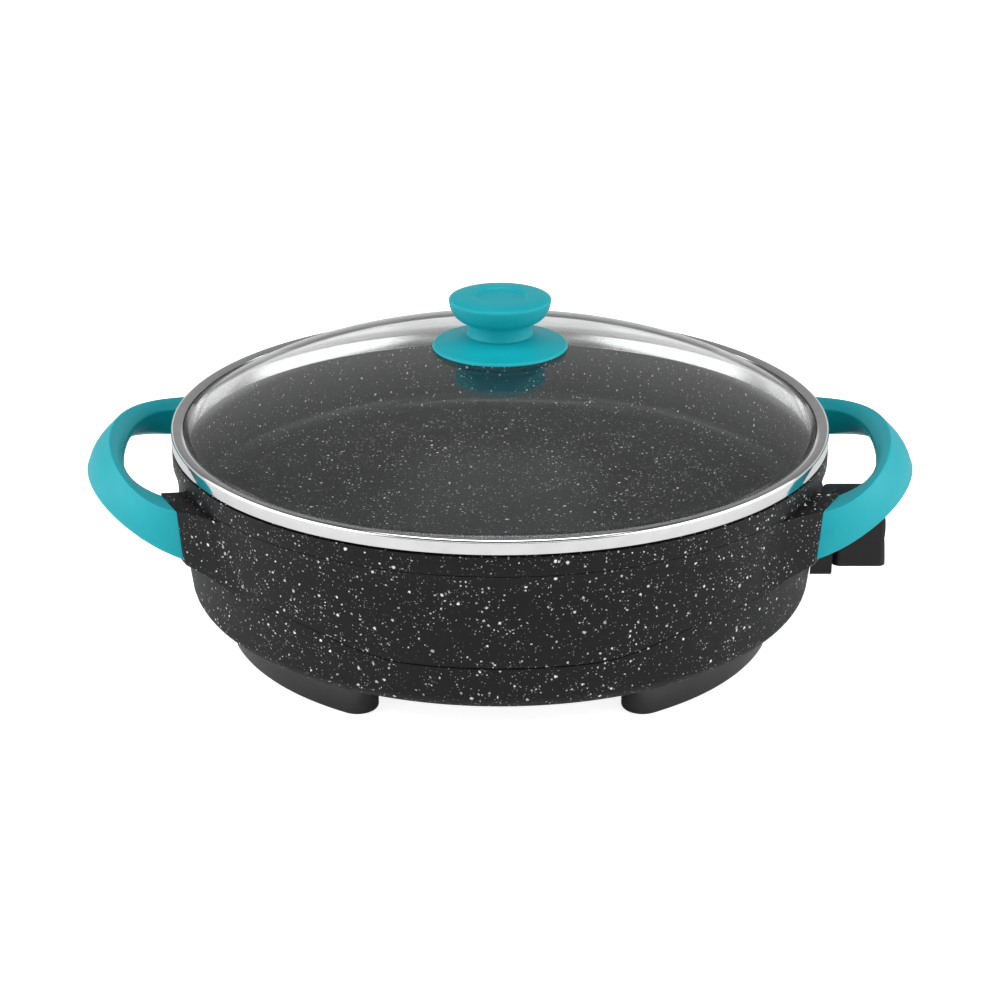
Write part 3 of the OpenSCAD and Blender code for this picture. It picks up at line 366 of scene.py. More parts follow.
def base_outline(angle):
    """From the middle of the bottom out, up the outside to the joint line and back down the inside."""
    high = part_z(wall_r(Z_DIP) * math.cos(angle)) - JOINT_GAP
    lip_r = wall_r(high) - REVEAL
    corner_r = wall_r(Z_CORNER) - REVEAL - BASE_CORNER_W
    heights = spaced(Z_CORNER, high - LIP_ROUND, steps=8, first=1)
    bottom = [(r, Z_BASE) for r in spaced(0, corner_r, steps=6)[:-1]]
    corner = arc(corner_r, Z_CORNER, BASE_CORNER_W, BASE_CORNER_H, -90, 0, steps=14)
    outside = [(wall_r(z) - REVEAL, z) for z in heights]
    lip = [(lip_r - LIP_ROUND, high), (lip_r - BASE_T, high)]
    inside = [(wall_r(z) - REVEAL - BASE_T, z) for z in reversed(heights[:-1])]
    hollow = arc(corner_r, Z_CORNER, BASE_CORNER_W - BASE_T, BASE_CORNER_H - BASE_T, 0, -90, steps=14)
    return bottom + corner + outside + lip + inside + hollow + [(0, Z_BASE + BASE_T)]


base = solid("base_bowl", turned(base_outline, POT_SIDES), outer_coat)
socket_cut = bmesh.new()
socket_at = Matrix.Translation((SOCKET_R * MM, 0, SOCKET_MID * MM))
socket_size = Matrix.Diagonal((SOCKET_DEPTH * MM, SOCKET_W * MM, 2 * (SOCKET_MID - SOCKET_FOOT) * MM, 1))
bmesh.ops.create_cube(socket_cut, size=1.0, matrix=socket_at @ socket_size)
combine(base, solid("socket_cut", socket_cut), "DIFFERENCE")
place(base, "cooker", "shell_coat", "base_shell")

# Inside the base
# A sheathed heating element under the pan's floor, its ceramic bushes and brass pins, a bright reflector dish
# and turned pillars. They keep the shapes of their solids.


def dress(material, *nodes):
    """Gives these solids a finish."""
    for node in nodes:
        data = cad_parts[node].data
        data.materials.clear()
        data.materials.append(material)


def clouded(name, grain, detail, dark, light, **values):
    """A material whose colour drifts between two shades, grain times in a metre."""
    material, tree, shader = surface(name, **values)
    coords = add(tree, "ShaderNodeTexCoord").outputs["Object"]
    cloud = add(tree, "ShaderNodeTexNoise", {"Vector": coords}, {"Scale": grain, "Detail": detail})
    shade = add(tree, "ShaderNodeMix", {"Factor": cloud.outputs["Fac"]},
                {MIX_A: srgb(dark), MIX_B: srgb(light)}, data_type="RGBA")
    tree.links.new(shade.outputs[MIX_OUT], shader.inputs["Base Color"])
    return material


# Stainless sheath after some heatings: straw and blue-grey tints in soft bands of about 20 mm, dull.
sheath = clouded("heat-tinted stainless sheath", 45.0, 3.0, "#8a8178", "#6d6c72",
                 metallic=1.0, roughness=0.42)
dress(sheath, "heating_element")

# Bright rolled aluminium: faint rolling lines about 0.4 mm apart, drawn at 0.6 mm so that they show.
rolled, tree, shader = surface("rolled aluminium", metallic=1.0, roughness=0.3)
coords = add(tree, "ShaderNodeTexCoord").outputs["Object"]
stretch = add(tree, "ShaderNodeMapping", {"Vector": coords}, {"Scale": (30.0, 1600.0, 1600.0)})
lines = add(tree, "ShaderNodeTexNoise", {"Vector": stretch.outputs[0]}, {"Scale": 1.0, "Detail": 2.0})
shade = add(tree, "ShaderNodeMix", {"Factor": lines.outputs["Fac"]},
            {MIX_A: srgb("#b4b7ba"), MIX_B: srgb("#d2d4d6")}, data_type="RGBA")
tree.links.new(shade.outputs[MIX_OUT], shader.inputs["Base Color"])
dress(rolled, "heat_shield", "standoffs")

# Unglazed steatite: warm white, dull and slightly grainy, with grains under 1 mm.
steatite = clouded("steatite ceramic", 1500.0, 2.0, "#d9d3c4", "#efeadd", roughness=0.7)
dress(steatite, "terminal_bushes")

# Turned brass: yellow, with slight browning from handling in patches of about 5 mm.
brass = clouded("turned brass", 220.0, 3.0, "#a98a48", "#d8bd74", metallic=1.0, roughness=0.28)
dress(brass, "terminal_pins", "contact_sleeves", "knob_insert")

# Guard
# A moulded collar round the socket, screwed to the base through two deep holes. It is of black glass-filled
# nylon.
SOLID_MERGE, SOLID_FLAT, MOULD_CORNER = 0.002, 0.4, 35

# Glass-filled nylon from a spark-cut mould: dull black with a fine pitted grain of about 0.7 mm.
black_nylon = clouded("black spark-textured nylon", 1400.0, 3.0, "#101010", "#1b1b1b",
                      roughness=0.42, specular_ior_level=0.38)
textured(black_nylon, grain=1400.0, detail=3.0, strength=0.15, depth=0.1)


def even_out(obj):
    """Lets flat faces keep their own direction of light next to small rounded edges."""
    step = obj.modifiers.new("normals", "WEIGHTED_NORMAL")
    step.keep_sharp = True
    settle(obj, step)


def softened(node, name, width, material):
    """A copy of a solid with its sharp edges rounded as a mould leaves them."""
    bm = bmesh.new()
    bm.from_mesh(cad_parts[node].data)
    bmesh.ops.remove_doubles(bm, verts=bm.verts, dist=SOLID_MERGE * MM)
    bmesh.ops.dissolve_limit(bm, angle_limit=math.radians(SOLID_FLAT), verts=bm.verts, edges=bm.edges)
    round_off(bm, bm.edges, MOULD_CORNER, width)
    for face in bm.faces:
        face.material_index = 0
    obj = solid(name, bm, material, sharp=40)
    even_out(obj)
    return obj


place(softened("terminal_guard", "socket_guard", 0.5, black_nylon), "cooker", "black", "terminal_guard")

# Handles
# Two loops moulded in teal phenolic, each with a tongue in two of the lugs. The leg's four edges run on as
# rails round the loop: an inner edge, a ridge, an outer edge and an underside edge.
HALF_RINGS, CORNER_STEPS, FACE_STEPS = 30, 6, 4
LEG_HALF_W, LEG_GAP, LEG_ROUND, LOOP_ROUND = 12.6, 0.1, 0.8, 1.8
LOOP_GROWTH, CORNER_MOST, CROWNS = 3, 0.46, (0.5, 2.0, 0.5, 0.5)
# Each rail has its place on the leg's end (across, up), its place in the middle of the loop, and its bends as
# shares: the way out at the first bend, the distance from the middle at both, and the way up at the first.
RAILS = {"inner": ((-LEG_HALF_W, 88.5), (189.0, 0.0, 94.5), (0.7, 0.89, 0.57, 0.72)),
         "ridge": ((LEG_HALF_W, 89.1), (196.0, 0.0, 103.0), (0.54, 0.92, 0.51, 0.07)),
         "outer": ((LEG_HALF_W, 63.9), (209.5, 0.0, 83.5), (0.44, 0.95, 0.53, 0.35)),
         "under": ((-LEG_HALF_W, 75.6), (189.8, 0.0, 91.0), (0.7, 0.89, 0.57, 0.0))}

# Phenolic from a fine matt mould: satin, very slightly cloudy over about 10 mm, with a skin grain of 0.6 mm.
teal = clouded("teal satin phenolic", 90.0, 3.0, "#059fac", "#0aa8b4",
               roughness=0.46, specular_ior_level=0.3)
textured(teal, grain=1800.0, detail=2.0, strength=0.06, depth=0.1)


def leg_point(v, z):
    """A point of the leg's end, just off the lug's drafted face."""
    u = LUG_R - LUG_DRAFT * (Z_LUG - z) / (Z_LUG - Z_LUG_FOOT) + LEG_GAP
    c, s = math.cos(LUG_ANGLE), math.sin(LUG_ANGLE)
    return (u * c - v * s, u * s + v * c, z)


def rail(leg, middle, bends, t):
    """One edge of the loop, from the leg (t = 0) to the middle (t = 1)."""
    start = leg_point(*leg)
    out, near, far, rise = bends
    leave = (mix(start[0], middle[0], out), start[1] * near, mix(start[2], middle[2], rise))
    arrive = (middle[0], start[1] * far, middle[2])
    return sum((Vector(p) * w for p, w in zip((start, leave, arrive, middle), pulls(t))), Vector())


def section(t):
    """The loop's cross-section: four rounded corners with slightly crowned faces between them."""
    corners = [rail(*row, t) for row in RAILS.values()]
    middle = sum(corners, Vector()) / 4
    grow = min(1.0, LOOP_GROWTH * t)
    radius = mix(LEG_ROUND, LOOP_ROUND, grow)

    def toward(a, b):
        return a + (b - a) * min(CORNER_MOST, radius / (b - a).length)

    ring = []
    for k in range(4):
        before, here, after = corners[k - 1], corners[k], corners[(k + 1) % 4]
        p, q = toward(here, before), toward(here, after)
        for s in spaced(0, 1, CORNER_STEPS):
            ring.append(p * (1 - s) ** 2 + here * 2 * s * (1 - s) + q * s * s)
        r = toward(after, here)
        out = ((q + r) / 2 - middle).normalized() * CROWNS[k] * grow
        for s in spaced(0, 1, FACE_STEPS + 1)[1:-1]:
            ring.append(q.lerp(r, s) + out * math.sin(math.pi * s))
    return ring


def skinned(rings):
    """A closed mesh through rings of like points, with both ends capped."""
    bm = bmesh.new()
    rows = [[bm.verts.new(p) for p in ring] for ring in rings]
    for here, there in zip(rows, rows[1:]):
        for k in range(len(here)):
            n = (k + 1) % len(here)
            bm.faces.new((here[k], here[n], there[n], there[k]))
    for cap in (rows[0], rows[-1]):
        bm.faces.new(cap)
    return bm


def loop_handle(side):
    """The whole loop on the left (-1) or the right (1)."""
    half = [section(t) for t in spaced(0, 1, HALF_RINGS)]
    rings = half + [[Vector((p.x, -p.y, p.z)) for p in ring] for ring in reversed(half[:-1])]
    return skinned([[(side * p.x * MM, p.y * MM, p.z * MM) for p in ring] for ring in rings])


for side, word in ((-1, "left"), (1, "right")):
    loop = solid(f"{word}_loop", loop_handle(side), teal, sharp=40)
    place(loop, "cooker", "teal", f"{word}_handle")

# Feet
# Four curved feet moulded in gloss black phenolic, round at both ends, each held by two screws from below in
# deep holes.
FOOT_MID, FOOT_HALF_W, FOOT_H, FOOT_ROUND = 130.0, 10.0, 17.5, 1.6
FOOT_ANGLE, FOOT_HALF_ARC, SCREW_HALF_ARC = 39.0, 19.5, 11.0
WELL_R, WELL_LOW, WELL_TOP = 4.3, -1.0, 8.75

# Phenolic from a polished mould: deep black with a clear mirror-like skin and slight waves of about 14 mm.
gloss_black = clouded("gloss black phenolic", 70.0, 1.0, "#282828", "#353535",
                      roughness=0.16, coat_weight=0.3, coat_roughness=0.05)
textured(gloss_black, grain=70.0, detail=1.0, strength=0.05, depth=0.5)


def foot_ring(inset, z):
    """The foot's outline at one height: an arc with half-round ends, drawn in by inset."""
    half = FOOT_HALF_W - inset
    end_x, end_y = arc(0, 0, FOOT_MID, FOOT_MID, 0, FOOT_HALF_ARC, steps=1)[1]
    points = []
    for end, first, r in ((1, 0, FOOT_MID + half), (-1, 180, FOOT_MID - half)):
        last = end * FOOT_HALF_ARC
        points += arc(0, 0, r, r, -last, last, steps=24)[:-1]
        points += arc(end_x, end * end_y, half, half, last + first, last + first + 180, steps=16)[:-1]
    return [(x * MM, y * MM, z * MM) for x, y in points]


def foot_block(degrees):
    """One foot with a rounded lower edge, in its place round the pan."""
    turns = spaced(0, math.pi / 2, steps=5)
    levels = [(FOOT_ROUND * (1 - math.sin(a)), FOOT_ROUND * (1 - math.cos(a))) for a in turns]
    bm = skinned([foot_ring(inset, z) for inset, z in levels + [(0.0, FOOT_H)]])
    spin(bm, math.radians(degrees))
    return bm


feet = {"foot_rear_right": FOOT_ANGLE, "foot_rear_left": 180 - FOOT_ANGLE,
        "foot_front_left": 180 + FOOT_ANGLE, "foot_front_right": 360 - FOOT_ANGLE}
foot_spots = []
for node, degrees in feet.items():
    foot = solid(f"{node}_block", foot_block(degrees), gloss_black)
    spots = arc(0, 0, FOOT_MID, FOOT_MID, degrees - SCREW_HALF_ARC, degrees + SCREW_HALF_ARC, steps=1)
    combine(foot, solid("screw_wells", drill(WELL_R, WELL_LOW, WELL_TOP, spots)), "DIFFERENCE")
    place(foot, "cooker", "foot_black", node)
    foot_spots += spots

# Screws
# Zinc-plated pan-head screws with a cross recess: two in each foot, one under each lug, two in the guard, two
# in the control's base and one up through the lid. Each kind is one piece, set out by the same node tree.
HEAD_R, HEAD_H, SHANK_R, HEAD_SIDES, SHANK_SIDES = 3.8, 2.8, 2.0, 32, 24
CAP_SHARE, CAP_TAPER, ARM_LENGTH, ARM_WIDTH, ARM_DEPTH = 0.45, 0.74, 1.1, 0.26, 1.2
DOWN, OUT_RIGHT = (math.pi, 0.0, 0.0), (0.0, math.pi / 2, 0.0)

# Bright zinc: slightly blue steel with a fine turned grain of about 1 mm.
zinc = clouded("bright zinc-plated steel", 900.0, 2.0, "#a9acb0", "#cfd2d6", metallic=1.0, roughness=0.3)
dress(zinc, "knob_washer", "temperature_probe", "dial_spindle")

screws = bpy.data.node_groups.new("cross-head screws", "GeometryNodeTree")
screws.interface.new_socket("Places", in_out="INPUT", socket_type="NodeSocketGeometry")
inputs = {}
for word, kind in (("Head radius", "Float"), ("Head height", "Float"), ("Shank radius", "Float"),
                   ("Length", "Float"), ("Facing", "Rotation"), ("Plating", "Material")):
    socket = screws.interface.new_socket(word, in_out="INPUT", socket_type=f"NodeSocket{kind}")
    inputs[word] = socket.identifier
screws.interface.new_socket("Screws", in_out="OUTPUT", socket_type="NodeSocketGeometry")
given = add(screws, "NodeGroupInput").outputs

sizes = {word: given[word] for word in inputs}
for word, whole, share in (("Rim height", "Head height", 1 - CAP_SHARE),
                           ("Cap height", "Head height", CAP_SHARE), ("Cap radius", "Head radius", CAP_TAPER),
                           ("Arm length", "Head radius", ARM_LENGTH), ("Arm width", "Head radius", ARM_WIDTH),
                           ("Arm depth", "Head height", ARM_DEPTH)):
    part = add(screws, "ShaderNodeMath", {0: given[whole]}, {1: share}, operation="MULTIPLY")
    sizes[word] = part.outputs[0]

cones = {}
for word, top_r, foot_r, height, drop, sides in (
        ("rim", "Head radius", "Head radius", "Rim height", "Head height", HEAD_SIDES),
        ("cap", "Cap radius", "Head radius", "Cap height", "Cap height", HEAD_SIDES),
        ("shank", "Shank radius", "Shank radius", "Length", "Length", SHANK_SIDES)):
    cone = add(screws, "GeometryNodeMeshCone",
               {"Radius Top": sizes[top_r], "Radius Bottom": sizes[foot_r], "Depth": sizes[height]},
               {"Vertices": sides})
    down = add(screws, "ShaderNodeMath", {0: sizes[drop]}, {1: -1.0}, operation="MULTIPLY")
    at = add(screws, "ShaderNodeCombineXYZ", {"Z": down.outputs[0]})
    moved = add(screws, "GeometryNodeTransform",
                {"Geometry": cone.outputs["Mesh"], "Translation": at.outputs[0]})
    cones[word] = moved.outputs[0]

head = add(screws, "GeometryNodeMeshBoolean", operation="UNION", solver="EXACT")
for word in ("rim", "cap"):
    screws.links.new(cones[word], head.inputs["Mesh 2"])
recessed = add(screws, "GeometryNodeMeshBoolean", {"Mesh 1": head.outputs[0]},
               operation="DIFFERENCE", solver="EXACT")
for length, width in (("Arm length", "Arm width"), ("Arm width", "Arm length")):
    extent = add(screws, "ShaderNodeCombineXYZ",
                 {"X": sizes[length], "Y": sizes[width], "Z": sizes["Arm depth"]})
    arm = add(screws, "GeometryNodeMeshCube", {"Size": extent.outputs[0]})
    screws.links.new(arm.outputs["Mesh"], recessed.inputs["Mesh 2"])
joined = add(screws, "GeometryNodeJoinGeometry")
for part in (recessed.outputs[0], cones["shank"]):
    screws.links.new(part, joined.inputs[0])
spread = add(screws, "GeometryNodeInstanceOnPoints",
             {"Points": given["Places"], "Instance": joined.outputs[0], "Rotation": given["Facing"]})
real = add(screws, "GeometryNodeRealizeInstances", {"Geometry": spread.outputs[0]})
plated = add(screws, "GeometryNodeSetMaterial", {"Geometry": real.outputs[0], "Material": given["Plating"]})
add(screws, "NodeGroupOutput", {"Screws": plated.outputs[0]})


def set_screws(name, body, node, places, facing, head_r, head_h, shank_r, length):
    """One piece of like screws. places are the middles of the heads' outer faces."""
    mesh = bpy.data.meshes.new(name)
    mesh.from_pydata([tuple(c * MM for c in p) for p in places], [], [])
    obj = bpy.data.objects.new(name, mesh)
    bpy.context.scene.collection.objects.link(obj)
    step = obj.modifiers.new("screws", "NODES")
    step.node_group = screws
    values = {"Head radius": head_r * MM, "Head height": head_h * MM, "Shank radius": shank_r * MM,
              "Length": length * MM, "Facing": facing, "Plating": zinc}
    for word, value in values.items():
        step[inputs[word]] = value
    settle(obj, step)
    smooth(obj, sharp=30)
    place(obj, body, "steel", node)


set_screws("foot_screw_set", "cooker", "foot_screws", [(x, y, WELL_TOP - HEAD_H) for x, y in foot_spots],
           DOWN, HEAD_R, HEAD_H, SHANK_R, length=29.3)
set_screws("lug_screw_set", "cooker", "handle_screws", [(x, y, SCREW_SEAT - HEAD_H) for x, y in lug_spots],
           DOWN, HEAD_R, HEAD_H, SHANK_R, length=17.2)
set_screws("guard_screw_set", "cooker", "guard_screws", [(166.3, y, 48.0) for y in (-26.0, 26.0)],
           OUT_RIGHT, head_r=2.755, head_h=2.4, shank_r=1.45, length=19.2)
set_screws("control_screw_set", "control", "control_screws", [(177.95, y, 35.55) for y in (-20.35, 20.35)],
           DOWN, head_r=2.755, head_h=2.2, shank_r=1.45, length=19.3)
set_screws("knob_screw_one", "lid", "knob_screw", [(0.0, 0.0, 137.29)],
           DOWN, head_r=4.75, head_h=3.0, shank_r=2.5, length=25.7)

# Lid band
# Stainless strip rolled to a hoop: a flange that rolls down over the glass, a round shoulder, an upright band
# and a skirt with a hem that centres the lid in the pan.
Z_LID, Z_BAND, BAND_T, FLANGE_W, SHOULDER_R, BAND_FOOT_R = 101.8, 109.0, 0.8, 6.0, 2.0, 0.4
SKIRT_R, Z_SKIRT, SKIRT_LEAN, HEM_R, HEM_FROM, HEM_TO = 158.4, 96.2, 1.6, 0.55, -20, -235
LIP_W, LIP_TOP, LIP_LOW = 0.2, 1.35, 1.6
ROLL_OVER, ROLL_UNDER, ROLL_END, ROLL_POWER = 1.0, 0.8, 0.5, 2.2

# Stainless polished along the strip: mirror-bright, with slight cloudiness over about 8 mm.
bright = clouded("polished stainless strip", 120.0, 2.0, "#d8d8d8", "#ececec", metallic=1.0, roughness=0.09)


def band_outline(angle):
    """From the flange's lip over the shoulder, down the band, in to the skirt's hem and back inside."""
    inner, shoulder_r, z_shoulder = RIM_R - FLANGE_W, RIM_R - SHOULDER_R, Z_BAND - SHOULDER_R
    hollow_r, shares = SHOULDER_R - BAND_T, spaced(0, 1, steps=8)
    lip = [(inner + LIP_W, Z_BAND - LIP_LOW), (inner, Z_BAND - LIP_TOP)]
    crown = [(mix(inner + LIP_W, shoulder_r, s), Z_BAND - ROLL_OVER * (1 - s) ** ROLL_POWER)
             for s in shares[:-1]]
    shoulder = arc(shoulder_r, z_shoulder, SHOULDER_R, SHOULDER_R, 90, 0, steps=10)
    foot = arc(RIM_R - BAND_FOOT_R, Z_LID + BAND_FOOT_R, BAND_FOOT_R, BAND_FOOT_R, 0, -90, steps=4)
    hem = arc(SKIRT_R - BAND_T - SKIRT_LEAN, Z_SKIRT, HEM_R, HEM_R, HEM_FROM, HEM_TO, steps=10)
    inside = [(SKIRT_R - BAND_T, Z_LID + BAND_T), (RIM_R - BAND_T, Z_LID + BAND_T)]
    hollow = arc(shoulder_r, z_shoulder, hollow_r, hollow_r, 0, 90, steps=6)
    under = [(mix(shoulder_r, inner + ROLL_END, s), Z_BAND - BAND_T - ROLL_UNDER * s ** ROLL_POWER)
             for s in shares[1:-1]]
    return lip + crown + shoulder + foot + [(SKIRT_R, Z_LID)] + hem + inside + hollow + under


place(solid("lid_band", turned(band_outline, sides=320), bright), "lid", "band_steel", "lid_rim")

# Lid seal
# A silicone bead, cured in place between the glass edge and the steel band. Cured silicone is dark grey and
# dull, with a little dust in spots of about 2 mm.
silicone = clouded("grey silicone", 500.0, 2.0, "#2f2f2f", "#3d3d3d", roughness=0.6)
dress(silicone, "lid_seal")

# Lid glass
# A tempered soda-lime dome, sagged over a mould: nearly spherical, turning down a little to a flat edge in
# the seal. Clear with a faint green-grey body; lamps shine through it to the pan.
Z_APEX, SPHERE_R, EDGE_TURN, GLASS_T = 146.0, 378.0, 8, 4.0
GLASS_HOLE_R, SILL_R, EDGE_R, Z_SILL = 3.5, 158.5, 163.15, 107.4
glass, tree, shader = surface("tempered soda-lime glass", base_color=srgb("#f8faf9"), roughness=0.0, ior=1.5,
                              transmission_weight=1.0)
path = add(tree, "ShaderNodeLightPath")
through = add(tree, "ShaderNodeBsdfTransparent", None, {"Color": srgb("#f4f6f5")})
both = add(tree, "ShaderNodeMixShader",
           {0: path.outputs["Is Shadow Ray"], 1: shader.outputs[0], 2: through.outputs[0]})
tree.links.new(both.outputs[0], tree.nodes["Material Output"].inputs["Surface"])


def sphere_z(r):
    """Height of the sphere that the glass follows, at a radius."""
    return Z_APEX - SPHERE_R + math.sqrt(SPHERE_R ** 2 - r * r)


def dome_z(r):
    """Height of the glass's upper face at a radius."""
    return sphere_z(r) - (sphere_z(SILL_R) - Z_SILL) * (r / SILL_R) ** EDGE_TURN


def glass_outline(angle):
    """From the screw's hole out over the dome to the flat edge, and back under it."""
    upper = [(r, dome_z(r)) for r in spaced(GLASS_HOLE_R, SILL_R, steps=60)]
    edge = [(EDGE_R, Z_SILL), (EDGE_R, Z_SILL - GLASS_T)]
    return upper + edge + [(r, z - GLASS_T) for r, z in reversed(upper)]


place(solid("glass_dome", turned(glass_outline, sides=256), glass, sharp=40), "lid", "glass", "lid_glass")

# Knob
# A mushroom grip on a wide flange, both round mouldings in the same teal phenolic. A screw through the glass
# pulls a brass insert in the grip down on the flange.
Z_CONE, Z_NECK, Z_WIDE, Z_TOP, KNOB_SIDES = 151.0, 158.0, 168.5, 171.1, 160
NECK_R, WAIST_R, GRIP_R, KNOB_FLANGE_R = 16.5, 15.9, 25.5, 33.75
STEM_OUT, STEM_H, BOWL_R, DISH_R, DISH, DISH_RUN = 0.5, 2.8, NECK_R + 0.6, 14.0, 1.2, 2.4
HUB_R, HUB_HOLE_R, Z_HUB = 8.5, 2.8, Z_APEX + 0.05
FLANGE_SKIN, FLANGE_EDGE, FLANGE_LIFT, FLANGE_SEAT, CONE_POWER = 1.8, 1.6, 0.1, 2.0, 1.3


def knob_outline(angle):
    """From the stem's foot up under the bowl, round the widest ring, over the crown and into the dish."""
    stem = bezier((NECK_R + STEM_OUT, Z_CONE), (WAIST_R, Z_CONE + 0.4), (WAIST_R, Z_CONE + STEM_H / 2),
                  (WAIST_R, Z_CONE + STEM_H), steps=8)
    crease = [(WAIST_R, Z_NECK - 0.35), (WAIST_R + 0.15, Z_NECK - 0.15), (BOWL_R - 0.3, Z_NECK - 0.12)]
    swell = bezier((BOWL_R, Z_NECK + 0.1), (mix(BOWL_R, GRIP_R, 0.53), Z_NECK + 0.9),
                   (GRIP_R - 0.9, Z_WIDE - 6.5), (GRIP_R, Z_WIDE), steps=18)
    crown = bezier((GRIP_R, Z_WIDE), (GRIP_R, Z_WIDE + 1.56), (GRIP_R - 2, Z_TOP - 0.1), (DISH_R, Z_TOP),
                   steps=14, first=1)
    brink = bezier((DISH_R, Z_TOP), (DISH_R - 0.8, Z_TOP), (DISH_R - 1.0, Z_TOP - DISH),
                   (DISH_R - DISH_RUN, Z_TOP - DISH), steps=8, first=1)
    dish = [(6.0, Z_TOP - 0.95 * DISH), (0.0, Z_TOP - 0.9 * DISH)]
    return [(0.0, Z_CONE)] + stem + crease + swell + crown + brink + dish


def knob_flange_outline(angle):
    """From the screw's hole out under the hub, along the hollow underside, round the edge and up the cone."""
    seat_r, roll_r = KNOB_FLANGE_R - FLANGE_SEAT, KNOB_FLANGE_R - FLANGE_EDGE
    z_edge = dome_z(seat_r) + FLANGE_LIFT
    hub = [(HUB_HOLE_R, Z_HUB), (HUB_R, Z_HUB)]
    hub += [(r, Z_CONE - FLANGE_SKIN) for r in (HUB_R, NECK_R)]
    seat = [(seat_r - 1, z_edge + 0.4), (seat_r, z_edge)]
    roll = arc(roll_r, z_edge, FLANGE_EDGE, FLANGE_EDGE, 0, 90, steps=8)
    cone = [(mix(roll_r, NECK_R, s), mix(z_edge + FLANGE_EDGE, Z_CONE, s ** CONE_POWER))
            for s in spaced(0, 1, steps=12, first=1)]
    return hub + seat + roll + cone + [(HUB_HOLE_R, Z_CONE)]


knob_grip = solid("knob_grip", turned(knob_outline, KNOB_SIDES), teal, sharp=40)
place(knob_grip, "lid", "teal", "knob")
knob_flange = solid("knob_flange", turned(knob_flange_outline, KNOB_SIDES), teal, sharp=50)
place(knob_flange, "lid", "teal", "knob_base")

# Plug-in control
# Two black shells screwed together along the axis of the contacts. A brown block in front carries brass
# sleeves and the steel probe, a gland at the back would take a lead, and a dial and a red lamp are on top.
for node, name, width in (("control_base", "control_lower_shell", 0.5),
                          ("control_cover", "control_upper_shell", 0.5), ("cord_gland", "lead_gland", 0.3)):
    place(softened(node, name, width, black_nylon), "control", "black", node)

# Wood-filled phenolic: brown, semi-matt, with fine darker filler in specks of about 1 mm.
brown = clouded("brown filled phenolic", 900.0, 4.0, "#2c1d14", "#4a3224", roughness=0.5)
place(softened("contact_block", "contact_carrier", 0.4, brown), "control", "brown", "contact_block")
dress(brown, "thermostat_switch")

# Dyed acrylic lens and a neon envelope behind it: clear-skinned red, a little uneven over about 3 mm.
red = clouded("red acrylic", 300.0, 1.0, "#8e1512", "#b3231f", roughness=0.12, ior=1.49)
place(softened("indicator_lens", "lamp_lens", 0.2, red), "control", "lens", "indicator_lens")
dress(red, "indicator_lamp")

# Dial
# A low fluted dial moulded in the same black nylon, with a pointer groove on top. It is pushed on the steel
# spindle that sets the thermostat.
place(softened("dial", "dial_cap", 0.25, black_nylon), "dial", "black", "dial")

# Studio
# A plain pale floor, a white room with a bright skyline behind, and four soft lights: one above, a low strip
# in front and a panel on each side. The camera stands where the photograph's did.
WHITE, FLOOR_SIZE, FLOOR_GLOW, Z_AIM, FEATHER = (1.0, 1.0, 1.0, 1.0), 6.0, 0.85, 0.08, 0.26
ROOM_NEAR, ROOM_FAR, SKYLINE, SKYLINE_LOW, SKYLINE_TOP = 0.1, 0.34, 0.6, 0.08, 0.26

# A lit table of white acrylic: matt and almost even, and bright to the camera alone.
table = clouded("white lit acrylic table", 40.0, 2.0, "#eeeeee", "#f2f2f2", roughness=0.9,
                specular_ior_level=0.1, emission_color=WHITE)
tree = table.node_tree
seen_by = add(tree, "ShaderNodeLightPath").outputs["Is Camera Ray"]
glow = add(tree, "ShaderNodeMath", {0: seen_by}, {1: FLOOR_GLOW}, operation="MULTIPLY")
tree.links.new(glow.outputs[0], tree.nodes["Principled BSDF"].inputs["Emission Strength"])
floor_bm = bmesh.new()
bmesh.ops.create_grid(floor_bm, x_segments=1, y_segments=1, size=FLOOR_SIZE)
floor = solid("floor", floor_bm, table)

world = bpy.data.worlds.new("white room")
world.use_nodes = True
bpy.context.scene.world = world
tree = world.node_tree
room = tree.nodes["Background"]
room.inputs["Color"].default_value = WHITE
toward = add(tree, "ShaderNodeTexCoord").outputs["Generated"]
toward = add(tree, "ShaderNodeSeparateXYZ", {0: toward}).outputs
depth = add(tree, "ShaderNodeMapRange", {"Value": toward["Y"]},
            {"From Min": 0.1, "From Max": 1.0, "To Min": ROOM_NEAR, "To Max": ROOM_FAR})
skyline = add(tree, "ShaderNodeMapRange", {"Value": toward["Z"]},
              {"From Min": SKYLINE_LOW, "From Max": SKYLINE_TOP, "To Min": 1.0, "To Max": 0.0},
              interpolation_type="SMOOTHSTEP")
behind = add(tree, "ShaderNodeMapRange", {"Value": toward["Y"]}, {"From Min": 0.0, "From Max": 0.3})
wall = add(tree, "ShaderNodeMath", {0: skyline.outputs[0], 1: behind.outputs[0]}, operation="MULTIPLY")
level = add(tree, "ShaderNodeMath", {0: wall.outputs[0], 2: depth.outputs[0]}, {1: SKYLINE},
            operation="MULTIPLY_ADD")
tree.links.new(level.outputs[0], room.inputs["Strength"])
seen = add(tree, "ShaderNodeBackground", None, {"Color": WHITE, "Strength": 1.0})
ray = add(tree, "ShaderNodeLightPath").outputs["Is Camera Ray"]
blend = add(tree, "ShaderNodeMixShader", {0: ray, 1: room.outputs[0], 2: seen.outputs[0]})
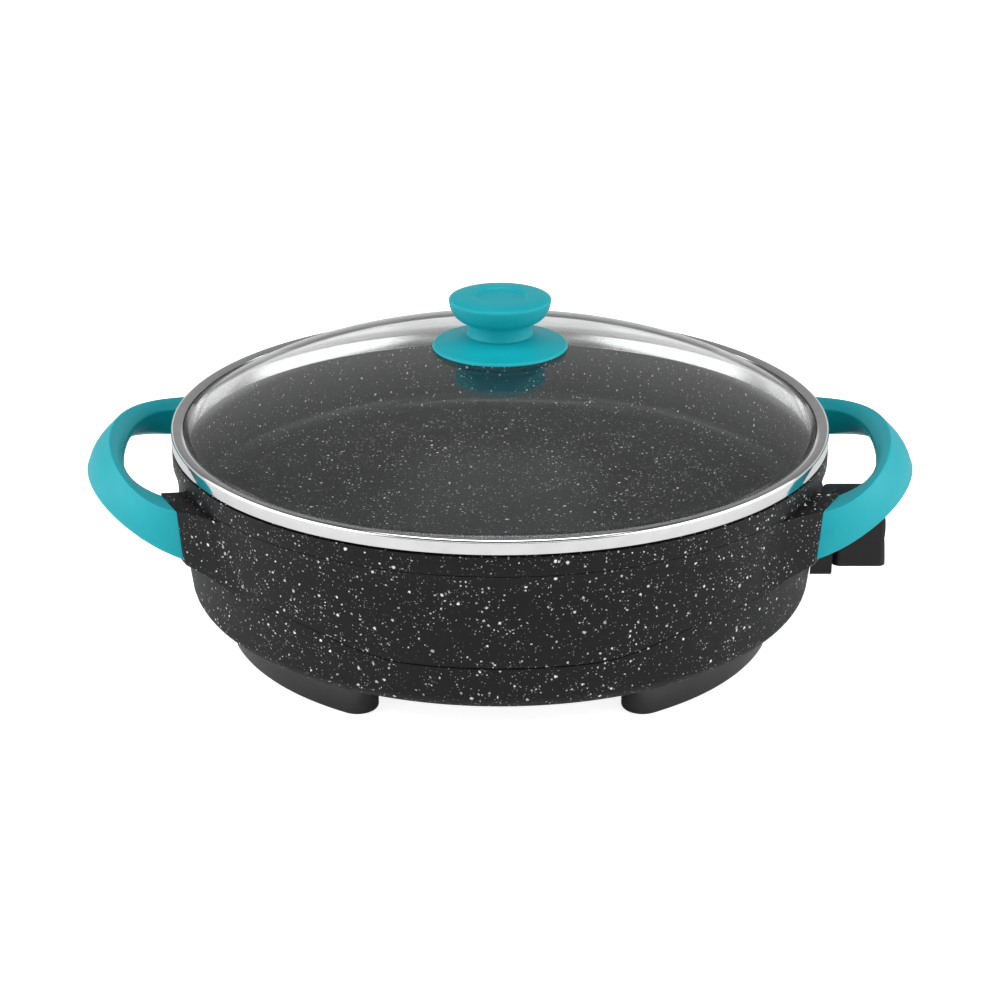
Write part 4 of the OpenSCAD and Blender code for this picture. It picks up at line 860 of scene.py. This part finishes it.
tree.links.new(blend.outputs[0], tree.nodes["World Output"].inputs["Surface"])


def panel(name, at, size, power):
    """A soft rectangular light at a place, aimed at the skillet, which fades towards its edges."""
    lamp = bpy.data.lights.new(name, "AREA")
    lamp.shape, lamp.size, lamp.size_y, lamp.energy = "RECTANGLE", size[0], size[1], power
    lamp.use_nodes = True
    tree = lamp.node_tree
    across = add(tree, "ShaderNodeNewGeometry").outputs["Parametric"]
    across = add(tree, "ShaderNodeVectorMath", {0: across}, {1: (0.5, 0.5, 0.0)}, operation="SUBTRACT")
    across = add(tree, "ShaderNodeVectorMath", {0: across.outputs[0]}, operation="ABSOLUTE")
    across = add(tree, "ShaderNodeSeparateXYZ", {0: across.outputs[0]}).outputs
    fades = [add(tree, "ShaderNodeMapRange", {"Value": across[axis]}, {"From Min": 0.5, "From Max": FEATHER},
                 interpolation_type="SMOOTHSTEP").outputs[0] for axis in "XY"]
    soft = add(tree, "ShaderNodeMath", {0: fades[0], 1: fades[1]}, operation="MULTIPLY")
    tree.links.new(soft.outputs[0], tree.nodes["Emission"].inputs["Strength"])
    obj = bpy.data.objects.new(name, lamp)
    bpy.context.scene.collection.objects.link(obj)
    obj.location = at
    obj.rotation_euler = (Vector((0, 0, Z_AIM)) - Vector(at)).to_track_quat("-Z", "Y").to_euler()


panel("top light", at=(0.0, -0.5, 1.7), size=(2.0, 0.8), power=25.0)
panel("front panel", at=(0.0, -1.8, 0.57), size=(3.0, 0.32), power=6.5)
panel("left panel", at=(-1.3, -0.35, 0.62), size=(2.5, 1.3), power=29.0)
panel("right panel", at=(1.3, -0.35, 0.62), size=(2.5, 1.3), power=29.0)

bpy.context.scene.view_settings.view_transform = "Standard"
lens = bpy.data.cameras.new("camera")
lens.lens, lens.sensor_width = 85.04, 36.0
camera = bpy.data.objects.new("camera", lens)
bpy.context.scene.collection.objects.link(camera)
camera.location = (0.0, -1.122, 0.516)
camera.rotation_euler = (math.radians(67.945), 0.0, 0.0)
bpy.context.scene.camera = camera
